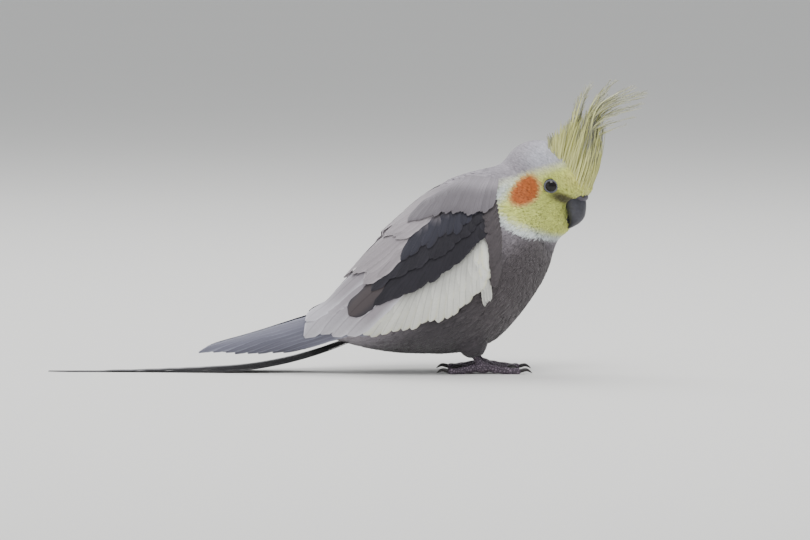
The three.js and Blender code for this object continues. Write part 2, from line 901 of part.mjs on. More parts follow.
// Toes of the left foot: end x and y from the foot's middle, root and end radius
const TOES = [
  { name: "front_outer", end: [19.5, 3], bend: 1.2, radii: [2, 1.65] },
  { name: "front_inner", end: [13.5, -4], bend: -0.8, radii: [1.85, 1.6] },
  { name: "back_outer", end: [-17.5, 3.5], bend: 1, radii: [1.95, 1.6] },
  { name: "back_inner", end: [-10.5, -4], bend: -0.8, radii: [1.8, 1.55] },
];
const FOOT_X = 1;
const PALM_HEIGHT = 3.4;
const PALM_RADII = [4.4, 3.7, 2.9];
const CLAW_LENGTH = 5.5;
const CLAW_RISE = 0.35; // each claw's root above the middle of its toe

function toeCurve(toe, side) {
  const [dx, dy] = toe.end;
  const y = side * SHANK_SPREAD;
  const at = (t, bow, height) =>
    new THREE.Vector3(
      FOOT_X + dx * t,
      y + side * (dy * t + toe.bend * bow),
      height,
    );
  return new THREE.CatmullRomCurve3([
    at(0, 0, PALM_HEIGHT),
    at(0.35, 0.8, 2.4),
    at(0.7, 0.9, 1.4),
    at(1, 0, 1.25),
  ]);
}

function ground() {
  return solid(new THREE.BoxGeometry(600, 200, 40).translate(0, 0, -20));
}

function thigh(side) {
  const lump = ellipsoid(
    [THIGH.centre[0], side * THIGH.centre[1], THIGH.centre[2]],
    THIGH.radii,
    0,
    14,
  );
  return solid(lump);
}

function shank(side, grow) {
  const y = side * SHANK_SPREAD;
  return limb(
    new THREE.CatmullRomCurve3([
      new THREE.Vector3(-6 - grow, y, 13 + grow),
      new THREE.Vector3(-2.5, y, 8.5),
      new THREE.Vector3(FOOT_X, y, PALM_HEIGHT),
    ]),
    [
      [0, 1.7 + grow],
      [0.5, 1.6 + grow],
      [1, 2.3 + grow],
    ],
    8,
    4,
  );
}

function foot(side) {
  const y = side * SHANK_SPREAD;
  const toes = TOES.map((toe) =>
    limb(
      toeCurve(toe, side),
      [
        [0, toe.radii[0]],
        [0.5, (toe.radii[0] + toe.radii[1]) / 2],
        [1, toe.radii[1]],
      ],
      7,
      4,
    ),
  );
  const palm = solid(
    ellipsoid([FOOT_X + 0.3, y, PALM_HEIGHT - 0.3], PALM_RADII, 0, 12),
  );
  return joined([shank(side, 0), palm, ...toes]).subtract(ground());
}

function claw(toe, side, grow = 0) {
  const curve = toeCurve(toe, side);
  const end = curve.getPoint(1);
  const along = curve.getTangent(1).setZ(0).normalize();
  const root = end.clone().addScaledVector(along, -0.6 - grow);
  root.z += CLAW_RISE;
  const knuckle = end.clone().addScaledVector(along, CLAW_LENGTH * 0.45);
  knuckle.z = 2.1;
  const tip = end.clone().addScaledVector(along, CLAW_LENGTH + grow);
  tip.z = 0.55;
  return limb(
    new THREE.CatmullRomCurve3([root, knuckle, tip]),
    [
      [0, 0.95 + grow],
      [0.5, 0.8 + grow],
      [1, 0.3 + grow],
    ],
    6,
    4,
  ).subtract(ground());
}

// Materials

function finish(color, roughness) {
  return new THREE.MeshStandardMaterial({ color, roughness, metalness: 0 });
}

const GREY_PLUMAGE = finish(0x6f6a6e, 0.85);
const FACE_PLUMAGE = finish(0xd9d48a, 0.85);
const WING_PLUMAGE = finish(0x8d8a8c, 0.8);
const TAIL_PLUMAGE = finish(0x5d5c60, 0.75);
const BILL_HORN = finish(0x4d4b55, 0.4);
const CERE_SKIN = finish(0x57505a, 0.6);
const EYE_GLOSS = finish(0x0c0a0a, 0.05);
const LEG_SKIN = finish(0x5c4f58, 0.65);
const CLAW_HORN = finish(0x1d1a1c, 0.4);

// Assembly

const bird = new THREE.Group();
bird.add(headGroup);

/** Adds a solid, given in the model's frame, to a group as a named mesh, without needless slivers. */
function add(group, name, body, material) {
  const mesh = body.simplify(SHORTEST_EDGE).getMesh();
  const count = mesh.vertProperties.length / mesh.numProp;
  const positions = new Float32Array(count * 3);
  for (let i = 0; i < count; i++)
    for (let k = 0; k < 3; k++)
      positions[3 * i + k] = mesh.vertProperties[mesh.numProp * i + k];
  const geometry = new THREE.BufferGeometry();
  geometry.setAttribute("position", new THREE.BufferAttribute(positions, 3));
  geometry.setIndex(Array.from(mesh.triVerts));
  geometry.applyMatrix4(group.matrix.clone().invert());
  geometry.computeVertexNormals();
  const node = new THREE.Mesh(geometry, material);
  node.name = name;
  group.add(node);
}

/** Half of space as a large block, on one side of a plane across the body axis. */
function beyond(along, tilt, towardsHead) {
  const size = 400;
  const block = new THREE.BoxGeometry(size, size, size);
  block.translate(towardsHead ? size / 2 : -size / 2, 0, 0);
  block.rotateY(-BODY_PITCH + tilt);
  const at = bodyPoint(along, 0, 0);
  block.translate(at.x, at.y, at.z);
  return solid(block);
}

const NECK_BASE = 36; // where the torso ends along the body axis
const NECK_TOP = 52; // where the head begins
const NECK_TOP_TILT = THREE.MathUtils.degToRad(-4);

const flesh = joined([trunk(0), skull(0)]);
const fleshGrown = joined([trunk(GAP), skull(GAP)]);

const torso = largest(flesh.subtract(beyond(NECK_BASE, 0, true)));
const neck = largest(
  flesh
    .intersect(beyond(NECK_BASE + GAP, 0, true))
    .subtract(beyond(NECK_TOP, NECK_TOP_TILT, true)),
);
const bill = upperBill(0);
const sockets = [
  upperBill(GAP),
  inHead(ellipsoid(LOWER_BILL.centre, LOWER_BILL.radii, GAP, 12)),
  inHead(ellipsoid(CERE.centre, CERE.radii, GAP, 12)),
  eyeball(RIGHT, GAP),
  eyeball(LEFT, GAP),
];
const bareHead = flesh.intersect(beyond(NECK_TOP + GAP, NECK_TOP_TILT, true));
const head = largest(
  joined([bareHead, lid(RIGHT), lid(LEFT), crest()]).subtract(
    wasm.Manifold.union(sockets),
  ),
);
const cere = largest(
  inHead(ellipsoid(CERE.centre, CERE.radii, 0, 12))
    .subtract(upperBill(GAP))
    .subtract(
      wasm.Manifold.union(
        [RIGHT, LEFT].map((side) =>
          inHead(
            ellipsoid(
              [NOSTRIL.centre[0], side * NOSTRIL.centre[1], NOSTRIL.centre[2]],
              NOSTRIL.radii,
              0,
              10,
            ),
          ),
        ),
      ),
    ),
);
const lowerBill = largest(
  inHead(ellipsoid(LOWER_BILL.centre, LOWER_BILL.radii, 0, 12)).subtract(
    upperBill(GAP),
  ),
);

add(bird, "torso", torso, GREY_PLUMAGE);
add(bird, "neck", neck, GREY_PLUMAGE);
add(headGroup, "head", head, FACE_PLUMAGE);
add(headGroup, "bill_upper", bill, BILL_HORN);
add(headGroup, "bill_lower", lowerBill, BILL_HORN);
add(headGroup, "cere", cere, CERE_SKIN);

const tailSolid = largest(tail().subtract(fleshGrown));
add(bird, "tail", tailSolid, TAIL_PLUMAGE);

for (const [side, word] of [
  [RIGHT, "right"],
  [LEFT, "left"],
]) {
  add(headGroup, `eye_${word}`, eyeball(side, 0), EYE_GLOSS);
  const wingSolid = largest(
    wing(side).subtract(fleshGrown).subtract(tailRoom()),
  );
  add(bird, `wing_${word}`, wingSolid, WING_PLUMAGE);
  const footSolid = largest(foot(side).subtract(fleshGrown));
  const thighSolid = largest(
    thigh(side).subtract(fleshGrown).subtract(shank(side, 1.4 * GAP)),
  );
  add(bird, `thigh_${word}`, thighSolid, GREY_PLUMAGE);
  const claws = TOES.map((toe) => claw(toe, side));
  const clawRoom = wasm.Manifold.union(
    TOES.map((toe) => claw(toe, side, GAP)),
  );
  add(bird, `foot_${word}`, largest(footSolid.subtract(clawRoom)), LEG_SKIN);
  TOES.forEach((toe, i) =>
    add(bird, `claw_${toe.name}_${word}`, claws[i], CLAW_HORN),
  );
}

// The origin is on the ground, below the middle of the bird's whole length and width.
const reach = new THREE.Box3().setFromObject(bird, true);
const middle = reach.getCenter(new THREE.Vector3());
bird.position.set(-middle.x, -middle.y, 0);

export default bird;
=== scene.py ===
"""A life-size cockatiel on level ground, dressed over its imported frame.

Lengths are millimetres in the bird's own frame (bill towards +X, right side towards -Y) until a
piece is made, when they become metres in the frame's place.
"""

from __future__ import annotations

import logging
import math
from dataclasses import dataclass, field
from enum import Enum
from typing import Callable, Sequence

import bpy
import numpy as np
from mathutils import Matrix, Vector
from mathutils.bvhtree import BVHTree

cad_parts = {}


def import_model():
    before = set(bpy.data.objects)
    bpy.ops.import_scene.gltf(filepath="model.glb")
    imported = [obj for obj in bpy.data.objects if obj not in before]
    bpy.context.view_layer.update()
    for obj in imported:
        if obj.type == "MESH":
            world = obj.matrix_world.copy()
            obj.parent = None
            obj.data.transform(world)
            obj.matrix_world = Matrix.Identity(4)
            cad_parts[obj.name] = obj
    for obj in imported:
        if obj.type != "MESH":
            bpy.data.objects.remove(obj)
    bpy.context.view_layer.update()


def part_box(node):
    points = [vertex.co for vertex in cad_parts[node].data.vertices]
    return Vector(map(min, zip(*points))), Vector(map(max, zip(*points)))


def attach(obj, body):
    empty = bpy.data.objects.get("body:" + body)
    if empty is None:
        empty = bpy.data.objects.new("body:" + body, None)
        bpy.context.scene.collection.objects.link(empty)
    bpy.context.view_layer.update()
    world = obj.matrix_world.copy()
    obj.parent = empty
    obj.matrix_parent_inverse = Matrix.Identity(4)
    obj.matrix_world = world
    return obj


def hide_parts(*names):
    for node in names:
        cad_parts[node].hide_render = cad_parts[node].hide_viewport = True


LOG = logging.getLogger("cockatiel")
MM = 0.001
SEED = 20


def srgb(red: float, green: float, blue: float) -> np.ndarray:
    """Turns a screen colour into the linear colour a shader works in.

    Args:
        red, green, blue: screen values, 0 to 255.

    Returns:
        Three linear values.
    """
    c = np.array([red, green, blue]) / 255
    return np.where(c <= 0.04045, c / 12.92, ((c + 0.055) / 1.055) ** 2.4)


def smooth(value: np.ndarray, start: float, end: float) -> np.ndarray:
    """A soft step from 0 at start to 1 at end."""
    t = np.clip((value - start) / (end - start), 0, 1)
    return t * t * (3 - 2 * t)


def unit(vectors: np.ndarray) -> np.ndarray:
    """The vectors along the last axis, at length 1."""
    return vectors / np.maximum(np.linalg.norm(vectors, axis=-1, keepdims=True), 1e-9)


def blend(a: np.ndarray, b: np.ndarray, share: np.ndarray) -> np.ndarray:
    """Colours from a to b, by a share for each point."""
    return a + (b - a) * np.asarray(share)[..., None]


def on_ball(t: np.ndarray, turn: np.ndarray) -> np.ndarray:
    """Directions from a ball's middle, from its lowest point to its highest.

    Args:
        t: shares of the way along, from 0 to 1.
        turn: turns round the form, in radians.

    Returns:
        Unit vectors.
    """
    tilt = np.pi * t
    flat = np.sin(tilt)
    return np.stack([flat * np.cos(turn), flat * np.sin(turn), -np.cos(tilt)], axis=-1)


class Side(Enum):
    """The bird's two sides, as the sign of Y."""

    RIGHT = -1
    LEFT = 1

    @property
    def word(self) -> str:
        """The side's name in node names."""
        return self.name.lower()


class Hue:
    """The plumage's colours."""

    # The breast and belly colours are partly the plumage's own grey and partly painted shade, much darker
    # than the back.
    BREAST_TONE_AND_SHADE = srgb(82, 76, 79)
    BELLY_TONE_AND_SHADE = srgb(68, 64, 68)
    BACK = srgb(166, 159, 167)
    NAPE = srgb(166, 160, 168)
    CROWN = srgb(196, 196, 206)
    FACE = srgb(224, 231, 124)
    FOREHEAD = srgb(232, 230, 132)
    BIB = srgb(226, 234, 234)
    CHEEK = srgb(198, 108, 54)
    CHEEK_EDGE = srgb(226, 190, 118)
    # Painted shade: the face's yellow darkened between eye and bill, where the face meets the bill.
    LORE_PAINTED_SHADE = srgb(78, 72, 46)
    BROW = srgb(228, 229, 196)
    CREST = srgb(228, 228, 154)
    CREST_GREY = srgb(142, 142, 130)
    CREST_TIP = srgb(216, 216, 196)
    CHARCOAL = srgb(40, 38, 46)
    CHARCOAL_EDGE = srgb(56, 54, 62)
    SHOULDER = srgb(50, 50, 62)
    PATCH = srgb(243, 243, 234)
    PATCH_CREAM = srgb(238, 236, 208)
    PATCH_ROOT = srgb(206, 206, 200)
    PALE = srgb(166, 158, 163)
    PALE_EDGE = srgb(192, 185, 189)
    TERTIAL = srgb(158, 151, 158)
    TERTIAL_EDGE = srgb(222, 220, 228)
    UMBER = srgb(84, 76, 78)
    SLATE = srgb(120, 120, 136)
    SLATE_EDGE = srgb(168, 170, 188)
    TAIL = srgb(56, 54, 58)
    SILVER = srgb(196, 196, 198)


@dataclass(frozen=True)
class Stations:
    """A table of stations read smoothly between its rows."""

    rows: tuple

    def at(self, place: np.ndarray) -> np.ndarray:
        """Reads the table.

        Args:
            place: where to read, along the first column.

        Returns:
            Every column's value, along a new last axis.
        """
        table = np.array(self.rows, float)
        keys = table[:, 0]
        later = np.minimum(np.arange(len(keys)) + 1, len(keys) - 1)
        sooner = np.maximum(np.arange(len(keys)) - 1, 0)
        slopes = (table[later] - table[sooner]) / (keys[later] - keys[sooner])[:, None]
        at = np.clip(np.asarray(place, float), keys[0], keys[-1])
        i = np.clip(np.searchsorted(keys, at), 1, len(keys) - 1)
        span = (keys[i] - keys[i - 1])[..., None]
        t = (at - keys[i - 1])[..., None] / span
        t2, t3 = t * t, t * t * t
        return (
            (2 * t3 - 3 * t2 + 1) * table[i - 1]
            + (t3 - 2 * t2 + t) * span * slopes[i - 1]
            + (3 * t2 - 2 * t3) * table[i]
            + (t3 - t2) * span * slopes[i]
        )


@dataclass(frozen=True)
class Trunk:
    """The body from rump to throat: stations of place along the axis, back, belly, half width."""

    centre: tuple = (-15.0, 0.0, 48.0)
    pitch: float = math.radians(38)
    rounding: float = 11.0
    rear: float = -66.0
    front: float = 64.0
    stations: Stations = Stations(
        (
            (-66, 21, 8, 9),
            (-58, 25.5, 1, 14),
            (-47, 28.5, -11, 19.5),
            (-35, 31, -21.5, 24),
            (-20, 34.3, -32.5, 27.5),
            (-4, 36.3, -38.5, 29),
            (12, 37.6, -37.3, 29),
            (27, 38.6, -33.2, 27.5),
            (38, 35.6, -29, 24.5),
            (50, 30.5, -21.5, 19.5),
            (64, 24, -10, 15),
        )
    )

    def along(self, points: np.ndarray) -> np.ndarray:
        """How far points lie along the body's axis, towards the head."""
        offset = points - np.array(self.centre)
        return offset[..., 0] * math.cos(self.pitch) + offset[..., 2] * math.sin(self.pitch)

    def above(self, points: np.ndarray) -> np.ndarray:
        """How far points lie from the body's axis, towards the back."""
        offset = points - np.array(self.centre)
        return offset[..., 2] * math.cos(self.pitch) - offset[..., 0] * math.sin(self.pitch)

    def point(self, along: np.ndarray, side: np.ndarray, back: np.ndarray) -> np.ndarray:
        """A point given along the body's axis, sideways and towards the back.

        Args:
            along: places along the body's axis.
            side: places towards the left.
            back: places towards the back.

        Returns:
            Points in the bird's frame.
        """
        c, s = math.cos(self.pitch), math.sin(self.pitch)
        x = self.centre[0] + along * c - back * s
        z = self.centre[2] + along * s + back * c
        return np.stack([x, side + 0 * x, z], axis=-1)

    def end_rounding(self, along: np.ndarray) -> np.ndarray:
        """The round-off near the trunk's two ends, from 0 at the very end to 1.

        Args:
            along: places along the body's axis.

        Returns:
            Shares of the full size.
        """
        left = np.minimum(along - self.rear, self.front - along)
        share = np.clip(1 - left / self.rounding, 0, 1)
        return np.sqrt(np.maximum(0, 1 - share**2))

    def surface(self, t: np.ndarray, turn: np.ndarray) -> np.ndarray:
        """The trunk's skin, from its rear end at t 0 to its front end at t 1.

        Args:
            t: shares of the way along, from 0 to 1.
            turn: turns round the form, in radians.

        Returns:
            Points in the bird's frame.
        """
        eased = (t + (1 - np.cos(math.pi * t)) / 2) / 2
        along = self.rear + (self.front - self.rear) * eased
        _, back, belly, half = np.moveaxis(self.stations.at(along), -1, 0)
        rounding = self.end_rounding(along)
        rise = (back + belly) / 2 + np.sin(turn) * (back - belly) / 2 * rounding
        return self.point(along, np.cos(turn) * half * rounding, rise)


@dataclass(frozen=True)
class Skull:
    """The head's form in its own frame, bill towards +X: lumps blended into one."""

    centre: tuple = (32.8, 0.0, 91.7)
    pitch: float = math.radians(22)
    turn: float = math.radians(30)
    blend_width: float = 1.1
    lumps: tuple = (
        ((-3, 0, 1), (19.5, 17.5, 21.8)),
        ((-9, 0, 0.5), (17, 16.5, 20.5)),
        ((9, 0, 8.5), (14.6, 12.5, 11)),
        ((6, 0, -12), (13.2, 14, 12.2)),
    )

    def axes(self) -> np.ndarray:
        """The head's own axes (bill, left, crown) as rows in the bird's frame.

        Returns:
            Three rows.
        """
        cp, sp = math.cos(self.pitch), math.sin(self.pitch)
        ct, st = math.cos(self.turn), math.sin(self.turn)
        return np.array([[cp * ct, -cp * st, -sp], [st, ct, 0], [sp * ct, -sp * st, cp]])

    def to_bird(self, local: np.ndarray) -> np.ndarray:
        """Points of the head's own frame in the bird's frame."""
        return np.asarray(local, float) @ self.axes() + np.array(self.centre)

    def to_head(self, points: np.ndarray) -> np.ndarray:
        """Points of the bird's frame in the head's own frame."""
        return (points - np.array(self.centre)) @ self.axes().T

    def reach(self, rays: np.ndarray) -> np.ndarray:
        """How far rays from the head's middle go before they leave it.

        Args:
            rays: directions from the head's middle.

        Returns:
            A length for each direction.
        """
        reaches = []
        for centre, radii in self.lumps:
            d = rays / np.array(radii)
            o = -np.array(centre) / np.array(radii)
            a = (d * d).sum(-1)
            b = (d * o).sum(-1)
            inside = np.maximum(b * b - a * ((o * o).sum() - 1), 0)
            reaches.append((-b + np.sqrt(inside)) / a)
        stack = np.stack(reaches)
        most = stack.max(0)
        total = np.exp((stack - most) / self.blend_width).sum(0)
        return most + self.blend_width * np.log(total)


TRUNK = Trunk()
SKULL = Skull()
EYE_CENTRE = (7.5, 11.4, 5.5)
EYE_AXIS = unit(np.array([0.5, 0.85, 0.16]))


@dataclass
class Bed:
    """What the folded wing lies on, unrolled: x, and the way walked up or down the flank."""

    trail: Stations = Stations(
        (
            (-145, 9.5, 3, 4),
            (-125, 12, 4.5, 6),
            (-105, 16, 6.5, 8.5),
            (-85, 20.5, 9.5, 12),
            (-65, 26, 13, 16.5),
            (-50, 30, 18, 20),
        )
    )
    first_x: int = -150
    last_x: int = 18
    least_y: float = 0.4

    def __post_init__(self) -> None:
        """Works the chart out once for the whole bird."""
        self.ways = np.arange(-70, 70.1, 0.5)
        self.places = np.arange(self.first_x, self.last_x + 0.1, 1.0)
        self.middles = self.middle(self.places)
        self.table = np.array([self.column(x) for x in self.places])

    def middle(self, x: np.ndarray) -> np.ndarray:
        """Height of the bed's middle line.

        Args:
            x: places along the bird.

        Returns:
            A height for each place.
        """
        c = math.cos(TRUNK.pitch)
        in_body = TRUNK.point((x - TRUNK.centre[0]) * c, 0 * x, 0 * x)[..., 2]
        behind = self.trail.at(x)[..., 1]
        return behind + (in_body - behind) * smooth(x, -90, -55)

    def flank(self, x: float, z: np.ndarray) -> np.ndarray:
        """Half width of the body, or of the folded wings behind it, in the side view.

        Args:
            x: one place along the bird.
            z: heights in the side view.

        Returns:
            A half width for each height.
        """
        points = np.stack([np.full_like(z, x), 0 * z, z], axis=-1)
        along, above = TRUNK.along(points), TRUNK.above(points)
        _, back, belly, half = np.moveaxis(TRUNK.stations.at(along), -1, 0)
        share = (above - (back + belly) / 2) / ((back - belly) / 2)
        body = half * np.sqrt(np.maximum(0, 1 - share**2))
        body = body * TRUNK.end_rounding(np.clip(along, TRUNK.rear, TRUNK.front))
        _, height, half_height, half_width = self.trail.at(np.array(float(x)))
        behind = half_width * np.sqrt(np.maximum(0, 1 - ((z - height) / half_height) ** 2))
        behind = behind * float(smooth(np.array(x), -44, -56))
        shared = np.minimum(body, behind) / np.maximum(np.maximum(body, behind), 0.01)
        return (body + behind + np.hypot(body - behind, 3 * shared)) / 2

    def column(self, x: float) -> np.ndarray:
        """The bed's (y, z) at each way walked from its middle, at one place along the bird.

        Args:
            x: one place along the bird.

        Returns:
            A (y, z) for each way walked.
        """
        middle = float(self.middle(np.array(x)))
        column = []
        for sign in (-1, 1):
            z = middle + sign * np.arange(0, 90, 0.1)
            y = self.flank(x, z)
            ended = np.nonzero(y < self.least_y)[0]
            stop = max(int(ended[0]) if len(ended) else len(z), 3)
            z, y = z[:stop], y[:stop]
            walked = np.concatenate([[0], np.cumsum(np.hypot(np.diff(z), np.diff(y)))])
            ways = np.abs(self.ways[self.ways < 0] if sign < 0 else self.ways[self.ways >= 0])
            beyond = np.maximum(ways - walked[-1], 0)
            height = np.interp(ways, walked, z) + sign * 0.2 * beyond
            column.append(np.stack([np.interp(ways, walked, y), height], axis=-1))
        return np.concatenate(column)

    def unroll(self, x: np.ndarray, z: np.ndarray) -> np.ndarray:
        """Chart height (the middle's height plus the way walked) of side-view points.

        Args:
            x: places along the bird.
            z: heights in the side view.

        Returns:
            A chart height for each point.
        """
        out = []
        for one_x, one_z in zip(np.atleast_1d(x), np.atleast_1d(z)):
            i = int(np.clip(round(one_x - self.first_x), 0, len(self.places) - 1))
            out.append(self.middles[i] + np.interp(one_z, self.table[i, :, 1], self.ways))
        return np.array(out)

    def read(self, x: np.ndarray, chart: np.ndarray) -> np.ndarray:
        """Points of the bed on the left side, from chart places.

        Args:
            x: places along the bird.
            chart: heights in the chart.

        Returns:
            Points in the bird's frame.
        """
        fx = np.clip(x - self.first_x, 0, len(self.places) - 1.001)
        i = fx.astype(int)
        fx = (fx - i)[..., None]
        middle = self.middles[i] * (1 - fx[..., 0]) + self.middles[i + 1] * fx[..., 0]
        fw = np.clip((chart - middle - self.ways[0]) * 2, 0, len(self.ways) - 1.001)
        j = fw.astype(int)
        fw = (fw - j)[..., None]
        near = self.table[i, j] * (1 - fw) + self.table[i, j + 1] * fw
        far = self.table[i + 1, j] * (1 - fw) + self.table[i + 1, j + 1] * fw
        yz = near * (1 - fx) + far * fx
        return np.concatenate([x[..., None], yz], axis=-1)

    def lifted(self, x: np.ndarray, chart: np.ndarray, lift: np.ndarray) -> np.ndarray:
        """Points raised off the bed, square to it.

        Args:
            x: places along the bird.
            chart: heights in the chart.
            lift: how far each point is raised.

        Returns:
            Points in the bird's frame.
        """
        step = 1.5
        ahead = self.read(x + step, chart) - self.read(x - step, chart)
        up = self.read(x, chart + step) - self.read(x, chart - step)
        normal = unit(np.cross(up, ahead))
        normal = normal * np.where(normal[..., 1:2] < 0, -1, 1)
        return self.read(x, chart) + normal * lift[..., None]


class Place:
    """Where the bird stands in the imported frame."""

    shift = np.zeros(3)

    @classmethod
    def find(cls) -> None:
        """Reads the shift between the bird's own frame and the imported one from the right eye."""
        low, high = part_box("eye_right")
        middle = (np.array(low) + np.array(high)) / 2 / MM
        local = np.array(EYE_CENTRE) * np.array([1, -1, 1])
        cls.shift = np.array([round((middle - SKULL.to_bird(local))[0], 1), 0, 0])
        LOG.info("shift %s", cls.shift)

    @classmethod
    def metres(cls, points: np.ndarray) -> np.ndarray:
        """Points of the bird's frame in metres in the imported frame."""
        return (np.asarray(points, float) + cls.shift) * MM


def mesh_object(name: str, vertices: np.ndarray, faces: np.ndarray) -> bpy.types.Object:
    """A smooth mesh from arrays.

    Args:
        name: the piece's name.
        vertices: (n, 3) points in millimetres in the bird's frame.
        faces: (m, k) corners of each face.

    Returns:
        The linked object.
    """
    mesh = bpy.data.meshes.new(name)
    count, corners = faces.shape
    mesh.vertices.add(len(vertices))
    mesh.vertices.foreach_set("co", Place.metres(vertices).astype(np.float32).ravel())
    mesh.loops.add(count * corners)
    mesh.loops.foreach_set("vertex_index", faces.astype(np.int32).ravel())
    mesh.polygons.add(count)
    mesh.polygons.foreach_set("loop_start", np.arange(0, count * corners, corners, dtype=np.int32))
    mesh.polygons.foreach_set("use_smooth", np.ones(count, bool))
    mesh.update(calc_edges=True)
    mesh.validate()
    piece = bpy.data.objects.new(name, mesh)
    bpy.context.collection.objects.link(piece)
    return piece


def paint(piece: bpy.types.Object, colours: np.ndarray) -> None:
    """Stores a colour for each vertex as the attribute that the plumage materials read.

    Args:
        piece: the object to change.
        colours: a linear colour for each vertex.
    """
    layer = piece.data.color_attributes.new("Coat", "FLOAT_COLOR", "POINT")
    full = np.ones((len(colours), 4), np.float32)
    full[:, :3] = colours
    layer.data.foreach_set("color", full.ravel())


def map_vertices(piece: bpy.types.Object, name: str, places: np.ndarray) -> None:
    """Gives the piece a UV map with one place for each vertex.

    Args:
        piece: the object to change.
        name: the map's name.
        places: a (u, v) place for each vertex.
    """
    layer = piece.data.uv_layers.new(name=name)
    corners = np.empty(len(piece.data.loops), np.int32)
    piece.data.loops.foreach_get("vertex_index", corners)
    layer.data.foreach_set("uv", places[corners].astype(np.float32).ravel())


def face_outwards() -> None:
    """Turns the active object's faces outwards and shades them smooth."""
    bpy.ops.object.mode_set(mode="EDIT")
    bpy.ops.mesh.select_all(action="SELECT")
    bpy.ops.mesh.normals_make_consistent(inside=False)
    bpy.ops.object.mode_set(mode="OBJECT")
    bpy.ops.object.shade_smooth()


def sculpted_sphere(
    name: str, segments: int, rings: int, place: Callable[[np.ndarray, np.ndarray], np.ndarray]
) -> bpy.types.Object:
    """A closed form made of a sphere whose points are put where place says.

    Args:
        name: the piece's name.
        segments: points round the form.
        rings: points along it.
        place: takes the share of the way from pole to pole and the turn round it.

    Returns:
        The smooth-shaded object, at the origin.
    """
    bpy.ops.object.select_all(action="DESELECT")
    bpy.ops.mesh.primitive_uv_sphere_add(segments=segments, ring_count=rings, radius=1)
    piece = bpy.context.object
    piece.name = name
    piece.data.name = name
    count = len(piece.data.vertices)
    points = np.empty(count * 3, np.float32)
    piece.data.vertices.foreach_get("co", points)
    points = points.reshape(-1, 3).astype(float)
    t = np.arccos(np.clip(-points[:, 2], -1, 1)) / math.pi
    turn = np.arctan2(points[:, 1], points[:, 0])
    placed = Place.metres(place(t, turn))
    piece.data.vertices.foreach_set("co", placed.astype(np.float32).ravel())
    piece.data.update()
    face_outwards()
    return piece


def joined(name: str, parts: Sequence[bpy.types.Object]) -> bpy.types.Object:
    """Several objects as one.

    Args:
        name: what it is called.
        parts: the objects, the first of which stays.

    Returns:
        The one object.
    """
    bpy.ops.object.select_all(action="DESELECT")
    for part in parts:
        part.select_set(True)
    bpy.context.view_layer.objects.active = parts[0]
    bpy.ops.object.join()
    parts[0].name = name
    parts[0].data.name = name
    return parts[0]


def apply_modifier(piece: bpy.types.Object, kind: str, **settings: object) -> None:
    """Adds a modifier with these settings and applies it.

    Args:
        piece: the object to change.
        kind: the type, by its own name.
        settings: properties to set, by name.
    """
    bpy.ops.object.select_all(action="DESELECT")
    piece.select_set(True)
    bpy.context.view_layer.objects.active = piece
    modifier = piece.modifiers.new(kind.lower(), kind)
    for key, value in settings.items():
        setattr(modifier, key, value)
    bpy.ops.object.modifier_apply(modifier=modifier.name)


def positions_of(piece: bpy.types.Object) -> np.ndarray:
    """The piece's vertices in millimetres in the bird's frame.

    Args:
        piece: the object to change.

    Returns:
        One point for each vertex.
    """
    points = np.empty(len(piece.data.vertices) * 3, np.float32)
    piece.data.vertices.foreach_get("co", points)
    return points.reshape(-1, 3).astype(float) / MM - Place.shift


class Shader:
    """A small helper that adds and links shader nodes."""

    def __init__(self, name: str) -> None:
        """Makes an empty material.

        Args:
            name: the material's name.
        """
        self.material = bpy.data.materials.new(name)
        self.material.use_nodes = True
        self.nodes = self.material.node_tree.nodes
        self.links = self.material.node_tree.links
        self.surface = self.nodes["Principled BSDF"]

    def add(self, kind: str, **settings: object) -> bpy.types.Node:
        """A node of this kind, with properties set by name.

        Args:
            kind: the type, by its own name.
            settings: properties to set, by name.

        Returns:
            The node.
        """
        node = self.nodes.new(kind)
        for key, value in settings.items():
            setattr(node, key, value)
        return node

    def link(self, source: object, target: object) -> None:
        """Feeds a node's output, or a constant, into a socket.

        Args:
            source: an output, or a constant.
            target: the socket that takes it.
        """
        if isinstance(source, bpy.types.NodeSocket):
            self.links.new(source, target)
        else:
            target.default_value = source

    def math(self, operation: str, a: object, b: object = 0.0) -> bpy.types.NodeSocket:
        """A Math node's output.

        Args:
            operation: the Math node's operation.
            a: the first value.
            b: the second value.

        Returns:
            Its output.
        """
        node = self.add("ShaderNodeMath", operation=operation)
        self.link(a, node.inputs[0])
        self.link(b, node.inputs[1])
        return node.outputs[0]

    def mix(self, share: object, a: object, b: object, how: str = "MIX") -> bpy.types.NodeSocket:
        """A colour mix's output.

        Args:
            share: how much of the second colour.
            a: the first value.
            b: the second value.
            how: the way of mixing.

        Returns:
            Its output.
        """
        node = self.add("ShaderNodeMix", data_type="RGBA", blend_type=how)
        for socket, value in zip((node.inputs[0], node.inputs[6], node.inputs[7]), (share, a, b)):
            if isinstance(value, np.ndarray):
                value = (*value, 1.0)
            self.link(value, socket)
        return node.outputs[2]

    def noise(self, scale: float, detail: float = 3.0) -> bpy.types.NodeSocket:
        """Noise on object coordinates, in waves per metre.

        Args:
            scale: waves in a metre.
            detail: levels of finer waves.

        Returns:
            Its output.
        """
        node = self.add("ShaderNodeTexNoise")
        node.inputs["Scale"].default_value = scale
        node.inputs["Detail"].default_value = detail
        coordinates = self.add("ShaderNodeTexCoord")
        self.links.new(coordinates.outputs["Object"], node.inputs["Vector"])
        return node.outputs[0]

    def bump(self, height: object, distance: float, strength: float = 1.0) -> None:
        """Feeds a height into the surface's normal.

        Args:
            height: the height to read.
            distance: the height of a full step, in metres.
            strength: how much of it shows.
        """
        node = self.add("ShaderNodeBump")
        node.inputs["Strength"].default_value = strength
        node.inputs["Distance"].default_value = distance
        self.link(height, node.inputs["Height"])
        self.links.new(node.outputs[0], self.surface.inputs["Normal"])


